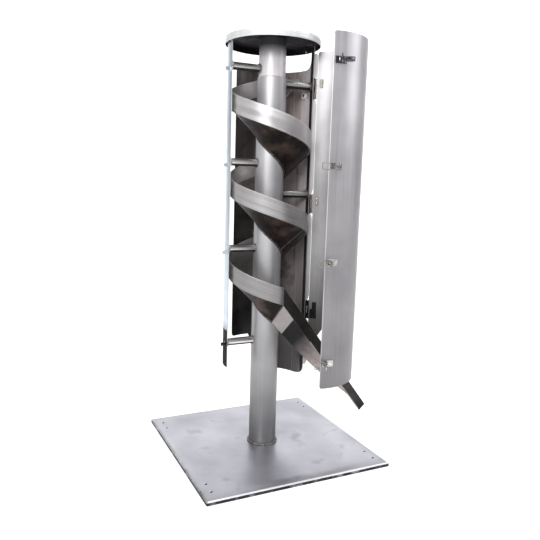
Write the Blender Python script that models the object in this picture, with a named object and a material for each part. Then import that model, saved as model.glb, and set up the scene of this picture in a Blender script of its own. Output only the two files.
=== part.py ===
"""Spiral gravity separator on a square foot plate, with a hinged door and toggle latches.

The part stands on Z = 0 with its column on the Z axis.  The open front faces -Y.  Angles run
counter-clockwise from +X as seen from above.  The door is drawn shut and then swung open about
its hinge line, which is how it stands at rest.  Everything is in metres.
"""
import math

import bmesh
import bpy
from mathutils import Matrix, Vector

# Foot plate and column
PLATE_SIDE = 0.600
PLATE_THICK = 0.012
ANCHOR_X = 0.270
ANCHOR_Y = (0.206, 0.252)
ANCHOR_RADIUS = 0.004
COLUMN_RADIUS = 0.04445
COLUMN_WALL = 0.003
COLUMN_TOP = 1.178
FOOT_WELD = 0.006
SPIGOT_RADIUS = 0.0411
SPIGOT_WALL = 0.003
SPIGOT_INSERT = 0.050

# Cap: an upside-down pan
TOTAL_HEIGHT = 1.294
CAP_RADIUS = 0.145
CAP_SKIRT = 0.022
CAP_SHEET = 0.0018
CAP_EDGE_ROUND = 0.004

# Touching faces stay this far apart
GAP = 0.0003

# Rails and their stand-off rods
RAIL_INNER = 0.1335
RAIL_OUTER = 0.1365
LEFT_RAIL_BOTTOM = 0.280
RIGHT_RAIL_BOTTOM = 0.222
RIGHT_RAIL_CORNER = 0.062
RIGHT_RAIL_CORNER_SHARE = 0.65
RAIL_TOP = 1.285
RAIL_TAB_EDGE = -1.0
WINDOW_SILL = 1.219
WINDOW_CORNER = 0.030
LEFT_RAIL_SPAN = (163.0, 184.0)
RIGHT_RAIL_SPAN = (-9.5, 19.0)
ROD_RADIUS = 0.0115
LEFT_ROD_HEIGHTS = (1.203, 0.923, 0.659, 0.361)
RIGHT_ROD_HEIGHTS = (1.166, 0.830, 0.400)
BOSS_AZIMUTH = 12.0
BOSS_HEIGHT = 1.141
BOSS_RADII = (0.0045, 0.0120)
BOSS_DEPTH = 0.005

# Rear shell, fixed outside the right rail
SHELL_INNER = 0.1368
SHELL_OUTER = 0.1383
SHELL_SPAN = (14.5, 120.0)

# Spiral flight and the guard along its outer edge
TURN_PITCH = 0.255
FLIGHT_INNER = COLUMN_RADIUS + GAP
FLIGHT_OUTER = 0.1230
FLIGHT_SHEET = 0.0027
FLIGHT_BANK_DROP = 0.070
EDGE_HEIGHT_AT_LEFT = 1.072
GUARD_SHEET = 0.0020
GUARD_HEIGHT = 0.052
TURN_BREAKS = (19.0, 343.0, 667.0, 990.0)
TURN_STEP = 10.8
JOINT_SLIT = 0.25

# Discharge chute, straight on from the end of the spiral
CHUTE_RUN = 0.298
CHUTE_FALL = 0.378
CHUTE_INNER_FALL = 0.340
CHUTE_INNER_RISE = 0.064
CHUTE_INNER_Y = -0.0472
CHUTE_FLOOR_END = 0.84
CHUTE_TIP_WALL = 0.027
CHUTE_INNER_WALL = 0.016

# Door: half a cylinder hinged at the right rail
DOOR_INNER = 0.1355
DOOR_OUTER = 0.1373
DOOR_SPAN = (185.0, 349.8)
DOOR_BOTTOM = 0.281
DOOR_TOP = 1.267
DOOR_OPEN = 71.5
NOTCH_SPAN = (288.0, 345.0)
NOTCH_TOP = 0.494
NOTCH_SLOPE_START = 303.0
NOTCH_LOW_END = 0.335
HINGE_SEAM = 350.2
HINGE_RADIUS = 0.1465
HINGE_HEIGHTS = (1.157, 0.800, 0.453)
HINGE_LENGTH = 0.060
KNUCKLE_RADIUS = 0.0050
HINGE_PIN_RADIUS = 0.0025
HINGE_BORE_RADIUS = 0.0028
HINGE_LEAF_SHEET = 0.0020
HINGE_LEAF_TURN = 9.5

# Toggle latches along the door's free edge
LATCH_HEIGHTS = (1.193, 0.913, 0.648, 0.356)
LATCH_AZIMUTH = 190.7
LATCH_PIVOT_HEIGHT = 0.009
LEVER_REST = (12.0, 100.0, 96.0, 104.0)
BAIL_LIFT = (62.0, 0.0, 4.0, 2.0)
BAIL_LENGTH = 0.038
BAIL_WIRE = 0.0012
BAIL_HALF_WIDTH = 0.0085
LINK_OFFSET = 0.009
LATCH_PIN_RADIUS = 0.0016
LATCH_BORE_RADIUS = 0.0019
KEEPER_AZIMUTH = 181.0

HINGE_AXIS = (HINGE_RADIUS * math.cos(math.radians(HINGE_SEAM)),
              HINGE_RADIUS * math.sin(math.radians(HINGE_SEAM)))

BRUSHED = (0.62, 0.61, 0.62)
BRIGHT = (0.80, 0.81, 0.83)
DULL = (0.36, 0.34, 0.34)
FASTENER = (0.55, 0.55, 0.57)


def clear_scene():
    """Remove every object so that the script can be run again in the same file."""
    for item in list(bpy.data.objects):
        bpy.data.objects.remove(item, do_unlink=True)


def steel(name, colour, roughness):
    """Return a metallic Principled material."""
    material = bpy.data.materials.new(name)
    material.use_nodes = True
    shader = material.node_tree.nodes["Principled BSDF"]
    shader.inputs["Base Color"].default_value = (*colour, 1.0)
    shader.inputs["Roughness"].default_value = roughness
    shader.inputs["Metallic"].default_value = 0.9
    return material


def polar(radius, azimuth, height):
    """Return the point at a radius, an angle in degrees and a height."""
    angle = math.radians(azimuth)
    return Vector((radius * math.cos(angle), radius * math.sin(angle), height))


def steps(start, end, step):
    """Return evenly spaced values from start to end, no further apart than step."""
    count = max(1, math.ceil(abs(end - start) / step - 1e-9))
    return [start + (end - start) * index / count for index in range(count + 1)]


def add_loft(mesh, sections, ring=False):
    """Add a solid that joins equal sections in turn; a ring joins the last to the first."""
    loops = [[mesh.verts.new(point) for point in section] for section in sections]
    faces = []
    pairs = list(zip(loops, loops[1:]))
    if ring:
        pairs.append((loops[-1], loops[0]))
    for first, second in pairs:
        for index in range(len(first)):
            after = (index + 1) % len(first)
            faces.append(mesh.faces.new((first[index], first[after], second[after], second[index])))
    if not ring:
        faces.append(mesh.faces.new(loops[0]))
        faces.append(mesh.faces.new(reversed(loops[-1])))
    bmesh.ops.recalc_face_normals(mesh, faces=faces)


def add_box(mesh, low, high, matrix=None):
    """Add a box between two corners, placed by an optional matrix."""
    matrix = matrix or Matrix()
    ends = []
    for x in (low[0], high[0]):
        ring = [(x, low[1], low[2]), (x, high[1], low[2]), (x, high[1], high[2]), (x, low[1], high[2])]
        ends.append([matrix @ Vector(point) for point in ring])
    add_loft(mesh, ends)


def circle(radius, height, count, centre=(0.0, 0.0)):
    """Return the points of a level circle."""
    points = []
    for index in range(count):
        angle = 2.0 * math.pi * index / count
        points.append(Vector((centre[0] + radius * math.cos(angle), centre[1] + radius * math.sin(angle), height)))
    return points


def add_rod(mesh, rings, count, matrix=None, centre=(0.0, 0.0)):
    """Add a round solid from (radius, height) rings along the local Z axis."""
    matrix = matrix or Matrix()
    sections = [[matrix @ point for point in circle(radius, height, count, centre)] for radius, height in rings]
    add_loft(mesh, sections)


def add_turned(mesh, profile, count):
    """Add a hollow turned solid from a closed (radius, height) profile that stays off the axis."""
    sections = [[polar(radius, 360.0 * index / count, height) for radius, height in profile]
                for index in range(count)]
    add_loft(mesh, sections, ring=True)


def place(name, mesh, material, parent=None, shift=(0.0, 0.0, 0.0), sharp=35.0):
    """Turn a bmesh into a named object, moving its points by -shift into its parent's frame."""
    data = bpy.data.meshes.new(name)
    if mesh.calc_volume(signed=True) < 0.0:
        bmesh.ops.reverse_faces(mesh, faces=mesh.faces)
    bmesh.ops.translate(mesh, verts=mesh.verts, vec=-Vector(shift))
    mesh.to_mesh(data)
    mesh.free()
    data.shade_smooth()
    data.set_sharp_from_angle(angle=math.radians(sharp))
    data.materials.append(material)
    item = bpy.data.objects.new(name, data)
    bpy.context.scene.collection.objects.link(item)
    item.parent = parent
    return item


def guide(name, location, angle=0.0, parent=None):
    """Add an empty that carries a moving group, turned about +Z by an angle in degrees."""
    item = bpy.data.objects.new(name, None)
    item.location = location
    item.rotation_euler = (0.0, 0.0, math.radians(angle))
    item.parent = parent
    bpy.context.scene.collection.objects.link(item)
    return item


def combine(item, name, mesh, operation, shift=(0.0, 0.0, 0.0)):
    """Cut an object with, or join it to, a hidden helper solid given in the same frame."""
    helper = place(name, mesh, item.data.materials[0], item.parent, shift)
    helper.matrix_basis = item.matrix_basis
    helper.hide_render = True
    helper.display_type = "WIRE"
    modifier = item.modifiers.new(name, "BOOLEAN")
    modifier.operation = operation
    modifier.solver = "EXACT"
    modifier.object = helper


def add_sheet(mesh, radii, azimuths, low, high):
    """Add a curved sheet between two radii; low and high give its edges at each angle."""
    inner, outer = radii
    sections = []
    for azimuth in azimuths:
        bottom, top = low(azimuth), high(azimuth)
        sections.append([polar(inner, azimuth, bottom), polar(outer, azimuth, bottom),
                         polar(outer, azimuth, top), polar(inner, azimuth, top)])
    add_loft(mesh, sections)


def rounded(distance, radius):
    """Return how far an edge pulls in at a distance from a corner rounded to a radius."""
    if distance >= radius:
        return 0.0
    return radius - math.sqrt(max(0.0, radius * radius - (radius - distance) ** 2))


def arc_length(azimuth, other, radius):
    """Return the distance along an arc between two angles."""
    return abs(math.radians(azimuth - other)) * radius


# ---------------------------------------------------------------- foot, column and cap

def build_foot(materials):
    """Build the foot plate with its anchor holes."""
    mesh = bmesh.new()
    half = PLATE_SIDE / 2.0
    add_box(mesh, (-half, -half, 0.0), (half, half, PLATE_THICK))
    plate = place("base_plate", mesh, materials["brushed"])
    holes = bmesh.new()
    for x in (-ANCHOR_X, ANCHOR_X):
        for side in (-1.0, 1.0):
            for y in ANCHOR_Y:
                ends = ((ANCHOR_RADIUS, -0.005), (ANCHOR_RADIUS, PLATE_THICK + 0.005))
                add_rod(holes, ends, 12, centre=(x, side * y))
    combine(plate, "anchor_hole_cutter", holes, "DIFFERENCE")


def build_column(materials):
    """Build the tube with its foot weld, and the spigot that plugs into its top."""
    foot = PLATE_THICK + GAP
    bore = COLUMN_RADIUS - COLUMN_WALL
    profile = [(bore, foot), (COLUMN_RADIUS + FOOT_WELD, foot),
               (COLUMN_RADIUS + FOOT_WELD * 0.35, foot + FOOT_WELD * 0.45),
               (COLUMN_RADIUS, foot + FOOT_WELD), (COLUMN_RADIUS, COLUMN_TOP), (bore, COLUMN_TOP)]
    mesh = bmesh.new()
    add_turned(mesh, profile, 40)
    place("column", mesh, materials["brushed"])
    low = COLUMN_TOP - SPIGOT_INSERT
    high = TOTAL_HEIGHT - CAP_SHEET - GAP
    profile = [(SPIGOT_RADIUS - SPIGOT_WALL, low), (SPIGOT_RADIUS, low),
               (SPIGOT_RADIUS, high), (SPIGOT_RADIUS - SPIGOT_WALL, high)]
    mesh = bmesh.new()
    add_turned(mesh, profile, 40)
    place("top_spigot", mesh, materials["bright"])


def build_cap(materials):
    """Build the pan-shaped cap as one pressed sheet with a rounded top edge."""
    top = TOTAL_HEIGHT
    low = top - CAP_SKIRT
    inner = CAP_RADIUS - CAP_SHEET
    edge = CAP_EDGE_ROUND
    rings = [(0.060, top), (CAP_RADIUS - edge, top), (CAP_RADIUS - edge * 0.3, top - edge * 0.3),
             (CAP_RADIUS, top - edge), (CAP_RADIUS, low), (inner, low),
             (inner, top - edge), (inner - edge * 0.7, top - CAP_SHEET), (0.060, top - CAP_SHEET)]
    mesh = bmesh.new()
    add_rod(mesh, rings, 48)
    place("top_cap", mesh, materials["bright"])


# ---------------------------------------------------------------- rails, rods and rear shell

def build_rods(materials):
    """Build the stand-off rods between the column and the two rails."""
    sides = (("left", 180.0, LEFT_ROD_HEIGHTS), ("right", 0.0, RIGHT_ROD_HEIGHTS))
    for side, azimuth, heights in sides:
        turn = Matrix.Rotation(math.radians(azimuth), 4, "Z") @ Matrix.Rotation(math.pi / 2.0, 4, "Y")
        for index, height in enumerate(heights, 1):
            mesh = bmesh.new()
            lift = Matrix.Translation((0.0, 0.0, height)) @ turn
            sections = []
            for near in (True, False):
                ring = []
                for point in circle(ROD_RADIUS, 0.0, 16):
                    reach = COLUMN_RADIUS + GAP if near else RAIL_INNER - GAP
                    point.z = math.sqrt(reach ** 2 - point.y ** 2) + (0.0006 if near else -0.0006)
                    ring.append(lift @ point)
                sections.append(ring)
            add_loft(mesh, sections)
            place(f"standoff_{side}_{index}", mesh, materials["bright"])


def left_rail_low(azimuth):
    """Return the left rail's lower edge, lightly rounded at both corners."""
    near = min(arc_length(azimuth, edge, RAIL_OUTER) for edge in LEFT_RAIL_SPAN)
    return LEFT_RAIL_BOTTOM + rounded(near, 0.006)


def right_rail_low(azimuth):
    """Return the right rail's lower edge, with one long round corner at the front."""
    near = arc_length(azimuth, RIGHT_RAIL_SPAN[0], RAIL_OUTER)
    return RIGHT_RAIL_BOTTOM + rounded(near, RIGHT_RAIL_CORNER) * RIGHT_RAIL_CORNER_SHARE


def right_rail_high(azimuth):
    """Return the right rail's upper edge: a tab up to the cap at the front, cut away at the feed window."""
    if azimuth <= RAIL_TAB_EDGE:
        return RAIL_TOP
    return WINDOW_SILL + rounded(arc_length(azimuth, RAIL_TAB_EDGE, RAIL_OUTER), WINDOW_CORNER)


def build_rails(materials):
    """Build the two upright rails that carry the rear shell, the door and the keepers."""
    mesh = bmesh.new()
    azimuths = steps(*LEFT_RAIL_SPAN, 2.4)
    add_sheet(mesh, (RAIL_INNER, RAIL_OUTER), azimuths, left_rail_low, lambda azimuth: RAIL_TOP)
    place("rail_left", mesh, materials["bright"])
    mesh = bmesh.new()
    azimuths = steps(RIGHT_RAIL_SPAN[0], RAIL_TAB_EDGE, 1.6) + steps(RAIL_TAB_EDGE + 0.06, RIGHT_RAIL_SPAN[1], 1.4)
    add_sheet(mesh, (RAIL_INNER, RAIL_OUTER), azimuths, right_rail_low, right_rail_high)
    place("rail_right", mesh, materials["bright"])


def build_boss(materials):
    """Build the round boss on the right rail's inner face, just under the top rod."""
    turn = Matrix.Rotation(math.radians(BOSS_AZIMUTH), 4, "Z") @ Matrix.Rotation(math.pi / 2.0, 4, "Y")
    lift = Matrix.Translation((0.0, 0.0, BOSS_HEIGHT)) @ turn
    bore, outer = BOSS_RADII
    face = RAIL_INNER - GAP - 0.0006
    profile = [(bore, face - BOSS_DEPTH), (outer - 0.001, face - BOSS_DEPTH),
               (outer, face - BOSS_DEPTH + 0.001), (outer, face), (bore, face)]
    mesh = bmesh.new()
    add_turned(mesh, profile, 20)
    bmesh.ops.transform(mesh, matrix=lift, verts=mesh.verts)
    place("rail_boss", mesh, materials["bright"])


def shell_low(azimuth):
    """Return the rear shell's lower edge: deep at the right, stepped up behind the column."""
    deep, shallow = 0.220, 0.342
    if azimuth <= 78.0:
        return deep + rounded(arc_length(azimuth, 78.0, SHELL_OUTER), 0.030)
    near = arc_length(azimuth, SHELL_SPAN[1], SHELL_OUTER)
    rise = min(1.0, (azimuth - 78.0) / 12.0)
    base = deep + 0.030 + (shallow - deep - 0.030) * rise
    return base + rounded(near, 0.014)


def shell_high(azimuth):
    """Return the rear shell's upper edge, which is the feed window's sill."""
    return WINDOW_SILL - rounded(arc_length(azimuth, SHELL_SPAN[1], SHELL_OUTER), 0.010)


def build_rear_shell(materials):
    """Build the curved rear sheet."""
    azimuths = sorted(set(steps(SHELL_SPAN[0], 30.0, 1.9) + steps(30.0, 66.0, 6.0) + steps(66.0, 92.0, 2.6)
                          + steps(92.0, 113.0, 5.3) + steps(113.0, SHELL_SPAN[1], 1.4)))
    mesh = bmesh.new()
    add_sheet(mesh, (SHELL_INNER, SHELL_OUTER), azimuths, shell_low, shell_high)
    place("rear_shell", mesh, materials["brushed"])


# ---------------------------------------------------------------- spiral and chute

def edge_height(turn):
    """Return the height of the flight's outer edge at an angle along the spiral."""
    return EDGE_HEIGHT_AT_LEFT - TURN_PITCH * (turn - 180.0) / 360.0


def flight_section(turn):
    """Return the flight's section: the banked sheet from the column out to its edge."""
    top = edge_height(turn)
    low = top - FLIGHT_BANK_DROP
    return [polar(FLIGHT_INNER, turn, low), polar(FLIGHT_OUTER, turn, top),
            polar(FLIGHT_OUTER, turn, top - FLIGHT_SHEET), polar(FLIGHT_INNER, turn, low - FLIGHT_SHEET)]


def guard_section(turn):
    """Return the guard's section; it grows from nothing over the first part of the spiral."""
    growth = min(1.0, 0.15 + 0.85 * (turn - TURN_BREAKS[0]) / 55.0)
    low = edge_height(turn) - FLIGHT_SHEET
    high = low + FLIGHT_SHEET + GUARD_HEIGHT * growth
    inner = FLIGHT_OUTER + GAP
    outer = inner + GUARD_SHEET
    return [polar(inner, turn, low), polar(outer, turn, low), polar(outer, turn, high), polar(inner, turn, high)]


def build_spiral(materials):
    """Build the spiral as three flight turns and the three guard strips along them."""
    names = ("upper", "middle", "lower")
    for name, start, end in zip(names, TURN_BREAKS, TURN_BREAKS[1:]):
        turns = steps(start + JOINT_SLIT, end - JOINT_SLIT, TURN_STEP)
        mesh = bmesh.new()
        add_loft(mesh, [flight_section(turn) for turn in turns])
        place(f"flight_{name}", mesh, materials["dull"])
        mesh = bmesh.new()
        add_loft(mesh, [guard_section(turn) for turn in turns])
        place(f"guard_{name}", mesh, materials["bright"])


def chute_start():
    """Return how far past the spiral's end the chute starts."""
    return math.radians(JOINT_SLIT) * FLIGHT_OUTER * 2.0


def add_twisted_loft(mesh, sections):
    """Add a solid like a loft, with each of its quads split from the side nearer the column."""
    loops = [[mesh.verts.new(point) for point in section] for section in sections]
    faces = [mesh.faces.new(loops[0]), mesh.faces.new(reversed(loops[-1]))]
    for first, second in zip(loops, loops[1:]):
        for index in range(len(first)):
            after = (index + 1) % len(first)
            if first[index].co.y < first[after].co.y:
                corners = ((first[index], first[after], second[index]), (first[after], second[after], second[index]))
            else:
                corners = ((first[index], first[after], second[after]), (first[index], second[after], second[index]))
            faces.extend(mesh.faces.new(points) for points in corners)
    bmesh.ops.recalc_face_normals(mesh, faces=faces)


def floor_section(along):
    """Return the chute floor's section: a banked sheet that levels out, with a low inner wall."""
    x = chute_start() + (CHUTE_RUN - chute_start()) * along
    end = edge_height(TURN_BREAKS[-1])
    outer = end - CHUTE_FALL * along
    inner = end - FLIGHT_BANK_DROP - CHUTE_INNER_FALL * along + CHUTE_INNER_RISE * along ** 2
    wall = CHUTE_INNER_Y + GUARD_SHEET
    return [Vector(point) for point in (
        (x, -FLIGHT_OUTER, outer - FLIGHT_SHEET), (x, wall, inner - FLIGHT_SHEET),
        (x, wall, inner + CHUTE_INNER_WALL), (x, CHUTE_INNER_Y, inner + CHUTE_INNER_WALL),
        (x, CHUTE_INNER_Y, inner), (x, -FLIGHT_OUTER, outer))]


def wall_section(along):
    """Return the outer wall's section: upright at the spiral, square to the slope at the tip."""
    slope = math.hypot(CHUTE_RUN, CHUTE_FALL)
    x = chute_start() + (CHUTE_RUN - chute_start()) * along
    low = edge_height(TURN_BREAKS[-1]) - CHUTE_FALL * along - FLIGHT_SHEET
    over = CHUTE_TIP_WALL * along * CHUTE_FALL / slope
    rise = GUARD_HEIGHT * (1.0 - along) + CHUTE_TIP_WALL * along * CHUTE_RUN / slope
    inner = -FLIGHT_OUTER - GAP
    outer = inner - GUARD_SHEET
    return [Vector(point) for point in (
        (x, inner, low), (x, outer, low), (x + over, outer, low + FLIGHT_SHEET + rise),
        (x + over, inner, low + FLIGHT_SHEET + rise))]


def build_chute(materials):
    """Build the discharge chute: its floor, and the outer wall that carries the guard on."""
    mesh = bmesh.new()
    add_twisted_loft(mesh, [floor_section(along) for along in steps(0.0, CHUTE_FLOOR_END, 0.14)])
    place("chute_floor", mesh, materials["dull"])
    mesh = bmesh.new()
    add_loft(mesh, [wall_section(along) for along in (0.0, 1.0)])
    place("chute_outer_wall", mesh, materials["dull"])


# ---------------------------------------------------------------- door and hinges

def notch_edge(azimuth):
    """Return the notch's upper edge: level over the chute's outer wall, then down to the hinge side."""
    fall = max(0.0, (azimuth - NOTCH_SLOPE_START) / (NOTCH_SPAN[1] - NOTCH_SLOPE_START))
    return NOTCH_TOP - (NOTCH_TOP - NOTCH_LOW_END) * fall


def door_low(azimuth):
    """Return the door's lower edge, with the notch that lets it swing past the chute."""
    if NOTCH_SPAN[0] < azimuth < NOTCH_SPAN[1]:
        near = min(arc_length(azimuth, edge, DOOR_OUTER) for edge in NOTCH_SPAN)
        return notch_edge(azimuth) - rounded(near, 0.012)
    near = min(arc_length(azimuth, edge, DOOR_OUTER) for edge in DOOR_SPAN)
    return DOOR_BOTTOM + rounded(near, 0.006)


def door_high(azimuth):
    """Return the door's upper edge, with slightly rounded corners."""
    near = min(arc_length(azimuth, edge, DOOR_OUTER) for edge in DOOR_SPAN)
    return DOOR_TOP - rounded(near, 0.008)


def build_door(materials, pivot, shift):
    """Build the door shell."""
    start, end = NOTCH_SPAN
    azimuths = (steps(DOOR_SPAN[0], DOOR_SPAN[0] + 3.0, 1.0) + steps(DOOR_SPAN[0] + 3.0, start, 5.7)[1:]
                + steps(start + 0.1, start + 5.5, 1.35) + steps(start + 5.5, end - 5.5, 5.6)[1:]
                + steps(end - 5.5, end - 0.1, 1.35)[1:] + steps(end, DOOR_SPAN[1], 1.2))
    mesh = bmesh.new()
    add_sheet(mesh, (DOOR_INNER, DOOR_OUTER), azimuths, door_low, door_high)
    place("door", mesh, materials["brushed"], pivot, shift)


def tangent_frame(azimuth, radius, height):
    """Return the frame with X along the tangent of falling angle, Y outwards and Z up."""
    turn = Matrix.Rotation(math.radians(azimuth - 90.0), 4, "Z")
    return Matrix.Translation(polar(radius, azimuth, height)) @ turn


def add_leaf(mesh, frame, reach, foot, head, half_height):
    """Add one flat plate of a hinge leaf in a tangent frame."""
    low, high = sorted(reach)
    add_box(mesh, (low, foot, -half_height), (high, head, half_height), frame)


def knuckle(mesh, low, high, radius=KNUCKLE_RADIUS):
    """Add one solid knuckle on the hinge line between two heights."""
    add_rod(mesh, ((radius, low), (radius, high)), 14, centre=HINGE_AXIS)


def build_hinge_leaf(name, side, height, foot, material, pivot, shift):
    """Build one leaf; side is 1 for the rail's, with the outer knuckles, and -1 for the door's."""
    half, third = HINGE_LENGTH / 2.0, HINGE_LENGTH / 6.0
    azimuth = HINGE_SEAM + side * HINGE_LEAF_TURN
    frame = tangent_frame(azimuth, 0.0, height)
    seam = side * HINGE_RADIUS * math.sin(math.radians(HINGE_LEAF_TURN))
    head = foot + HINGE_LEAF_SHEET
    mesh = bmesh.new()
    add_leaf(mesh, frame, (seam - side * 0.0340, seam - side * 0.0090), foot, head, half)
    leaf = place(name, mesh, material, pivot, shift)
    inset = half if side > 0 else third - 0.0002
    neck = bmesh.new()
    add_leaf(neck, frame, (seam - side * 0.0100, seam - side * 0.0018), foot + 0.00005, head - 0.00005, inset)
    combine(leaf, f"{name}_neck", neck, "UNION", shift)
    web = bmesh.new()
    add_leaf(web, frame, (seam - side * 0.0036, seam - side * 0.0019), foot + 0.0006, HINGE_RADIUS - 0.0030,
             inset - 0.00005)
    combine(leaf, f"{name}_web", web, "UNION", shift)
    barrel = bmesh.new()
    if side > 0:
        knuckle(barrel, height - half, height - third - 0.0002)
        knuckle(barrel, height + third + 0.0002, height + half)
    else:
        knuckle(barrel, height - third + 0.0002, height + third - 0.0002)
    combine(leaf, f"{name}_barrel", barrel, "UNION", shift)
    if side > 0:
        slit = bmesh.new()
        knuckle(slit, height - third - 0.0002, height + third + 0.0002, KNUCKLE_RADIUS + 0.0004)
        combine(leaf, f"{name}_slit", slit, "DIFFERENCE", shift)
    drill = bmesh.new()
    knuckle(drill, height - half - 0.002, height + half + 0.002, HINGE_BORE_RADIUS)
    combine(leaf, f"{name}_bore", drill, "DIFFERENCE", shift)


def build_hinges(materials, pivot, shift):
    """Build three butt hinges: a leaf on the rail, a leaf on the door and a pin."""
    still = (0.0, 0.0, 0.0)
    steel = materials["fastener"]
    for index, height in enumerate(HINGE_HEIGHTS, 1):
        build_hinge_leaf(f"hinge_rail_leaf_{index}", 1.0, height, RAIL_OUTER + GAP, steel, None, still)
        build_hinge_leaf(f"hinge_door_leaf_{index}", -1.0, height, DOOR_OUTER + GAP, steel, pivot, shift)
        low, high = height - HINGE_LENGTH / 2.0, height + HINGE_LENGTH / 2.0
        mesh = bmesh.new()
        rings = ((HINGE_PIN_RADIUS, low - 0.001), (HINGE_PIN_RADIUS, high + GAP),
                 (0.0036, high + GAP), (0.0036, high + 0.0018), (0.0022, high + 0.0028))
        add_rod(mesh, rings, 12, centre=HINGE_AXIS)
        place(f"hinge_pin_{index}", mesh, steel)


# ---------------------------------------------------------------- latches

def latch_frame(height):
    """Return a latch's frame on the closed door, centred on its lever's pivot."""
    return tangent_frame(LATCH_AZIMUTH, DOOR_OUTER + LATCH_PIVOT_HEIGHT, height)


def add_latch_base(mesh, height):
    """Add the curved foot of a latch."""
    radii = (DOOR_OUTER + GAP, DOOR_OUTER + GAP + 0.0015)
    edges = (height - 0.0095, height + 0.0095)
    azimuths = steps(LATCH_AZIMUTH - 3.6, LATCH_AZIMUTH + 10.2, 3.5)
    add_sheet(mesh, radii, azimuths, lambda azimuth: edges[0], lambda azimuth: edges[1])


def pin_bore(matrix, x):
    """Return a cutter for a cross bore at x along a latch piece."""
    mesh = bmesh.new()
    add_rod(mesh, ((LATCH_BORE_RADIUS, -0.012), (LATCH_BORE_RADIUS, 0.012)), 10,
            matrix @ Matrix.Translation((x, 0.0, 0.0)))
    return mesh


def build_latch(materials, pivot, shift, index, height):
    """Build one toggle latch: base, lever and bail."""
    frame = latch_frame(height)
    mesh = bmesh.new()
    add_latch_base(mesh, height)
    base = place(f"latch_base_{index}", mesh, materials["fastener"], pivot, shift)
    ears = bmesh.new()
    for side in (-1.0, 1.0):
        faces = sorted((side * 0.0056, side * 0.0068))
        add_box(ears, (-0.0045, -0.0082, faces[0]), (0.0045, 0.0036, faces[1]), frame)
    combine(base, f"latch_ears_{index}", ears, "UNION", shift)
    combine(base, f"latch_base_bore_{index}", pin_bore(frame, 0.0), "DIFFERENCE", shift)

    swing = guide(f"latch_swing_{index}", frame.translation - Vector(shift), LATCH_AZIMUTH - 90.0, pivot)
    mesh = bmesh.new()
    add_box(mesh, (-0.0400, 0.0034, -0.0070), (-0.0118, 0.0048, 0.0070))
    lever = place(f"latch_lever_{index}", mesh, materials["bright"], swing)
    lever.rotation_euler = (0.0, 0.0, -math.radians(LEVER_REST[index - 1]))
    cheeks = bmesh.new()
    for side in (-1.0, 1.0):
        faces = sorted((side * 0.0038, side * 0.0050))
        add_box(cheeks, (-0.0180, -0.0030, faces[0]), (0.0030, 0.0041, faces[1]))
    combine(lever, f"lever_cheeks_{index}", cheeks, "UNION")
    bores = pin_bore(Matrix(), 0.0)
    add_rod(bores, ((LATCH_BORE_RADIUS, -0.012), (LATCH_BORE_RADIUS, 0.012)), 10,
            Matrix.Translation((-LINK_OFFSET, 0.0, 0.0)))
    combine(lever, f"lever_bores_{index}", bores, "DIFFERENCE")

    rest = math.radians(LEVER_REST[index - 1])
    link = Vector((-LINK_OFFSET * math.cos(rest), LINK_OFFSET * math.sin(rest), 0.0))
    hang = guide(f"bail_swing_{index}", link, BAIL_LIFT[index - 1], swing)
    mesh = bmesh.new()
    add_wire_loop(mesh, BAIL_LENGTH, BAIL_HALF_WIDTH, BAIL_WIRE)
    place(f"latch_bail_{index}", mesh, materials["bright"], hang)


def add_wire_loop(mesh, length, half_width, wire):
    """Add a closed oblong of round wire in the XZ plane, its near bar on the Z axis."""
    corner = 0.0030
    centres = ((length - corner, half_width - corner, 0.0), (corner, half_width - corner, 90.0),
               (corner, corner - half_width, 180.0), (length - corner, corner - half_width, 270.0))
    sections = []
    for x, z, start in centres:
        for turn in (0.0, 45.0, 90.0):
            angle = math.radians(start + turn)
            outward = Vector((math.cos(angle), 0.0, math.sin(angle)))
            middle = Vector((x, 0.0, z)) + outward * corner
            ring = []
            for side in range(6):
                around = 2.0 * math.pi * side / 6
                ring.append(middle + outward * wire * math.cos(around) + Vector((0.0, wire * math.sin(around), 0.0)))
            sections.append(ring)
    add_loft(mesh, sections, ring=True)


def build_keepers(materials):
    """Build the hook on the left rail that each latch's bail drops over."""
    for index, height in enumerate(LATCH_HEIGHTS, 1):
        frame = tangent_frame(KEEPER_AZIMUTH, 0.0, height)
        foot = RAIL_OUTER + GAP
        mesh = bmesh.new()
        azimuths = steps(KEEPER_AZIMUTH - 5.0, KEEPER_AZIMUTH + 2.0, 2.4)
        add_sheet(mesh, (foot, foot + 0.0015), azimuths, lambda azimuth: height - 0.008,
                  lambda azimuth: height + 0.008)
        keeper = place(f"keeper_{index}", mesh, materials["fastener"])
        hook = bmesh.new()
        outline = ((-0.0010, foot + 0.0008), (0.0006, foot + 0.0008), (0.0006, 0.1508), (0.0018, 0.1524),
                   (0.0010, 0.1536), (-0.0010, 0.1516))
        add_loft(hook, [[frame @ Vector((x, y, z)) for x, y in outline] for z in (-0.0052, 0.0052)])
        combine(keeper, f"keeper_hook_{index}", hook, "UNION")


def build_latch_pins(materials, pivot, shift):
    """Build the pins that the latch levers turn on."""
    for index, height in enumerate(LATCH_HEIGHTS, 1):
        mesh = bmesh.new()
        add_rod(mesh, ((LATCH_PIN_RADIUS, -0.0070), (LATCH_PIN_RADIUS, 0.0070)), 10, latch_frame(height))
        place(f"latch_pin_{index}", mesh, materials["fastener"], pivot, shift)


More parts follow.
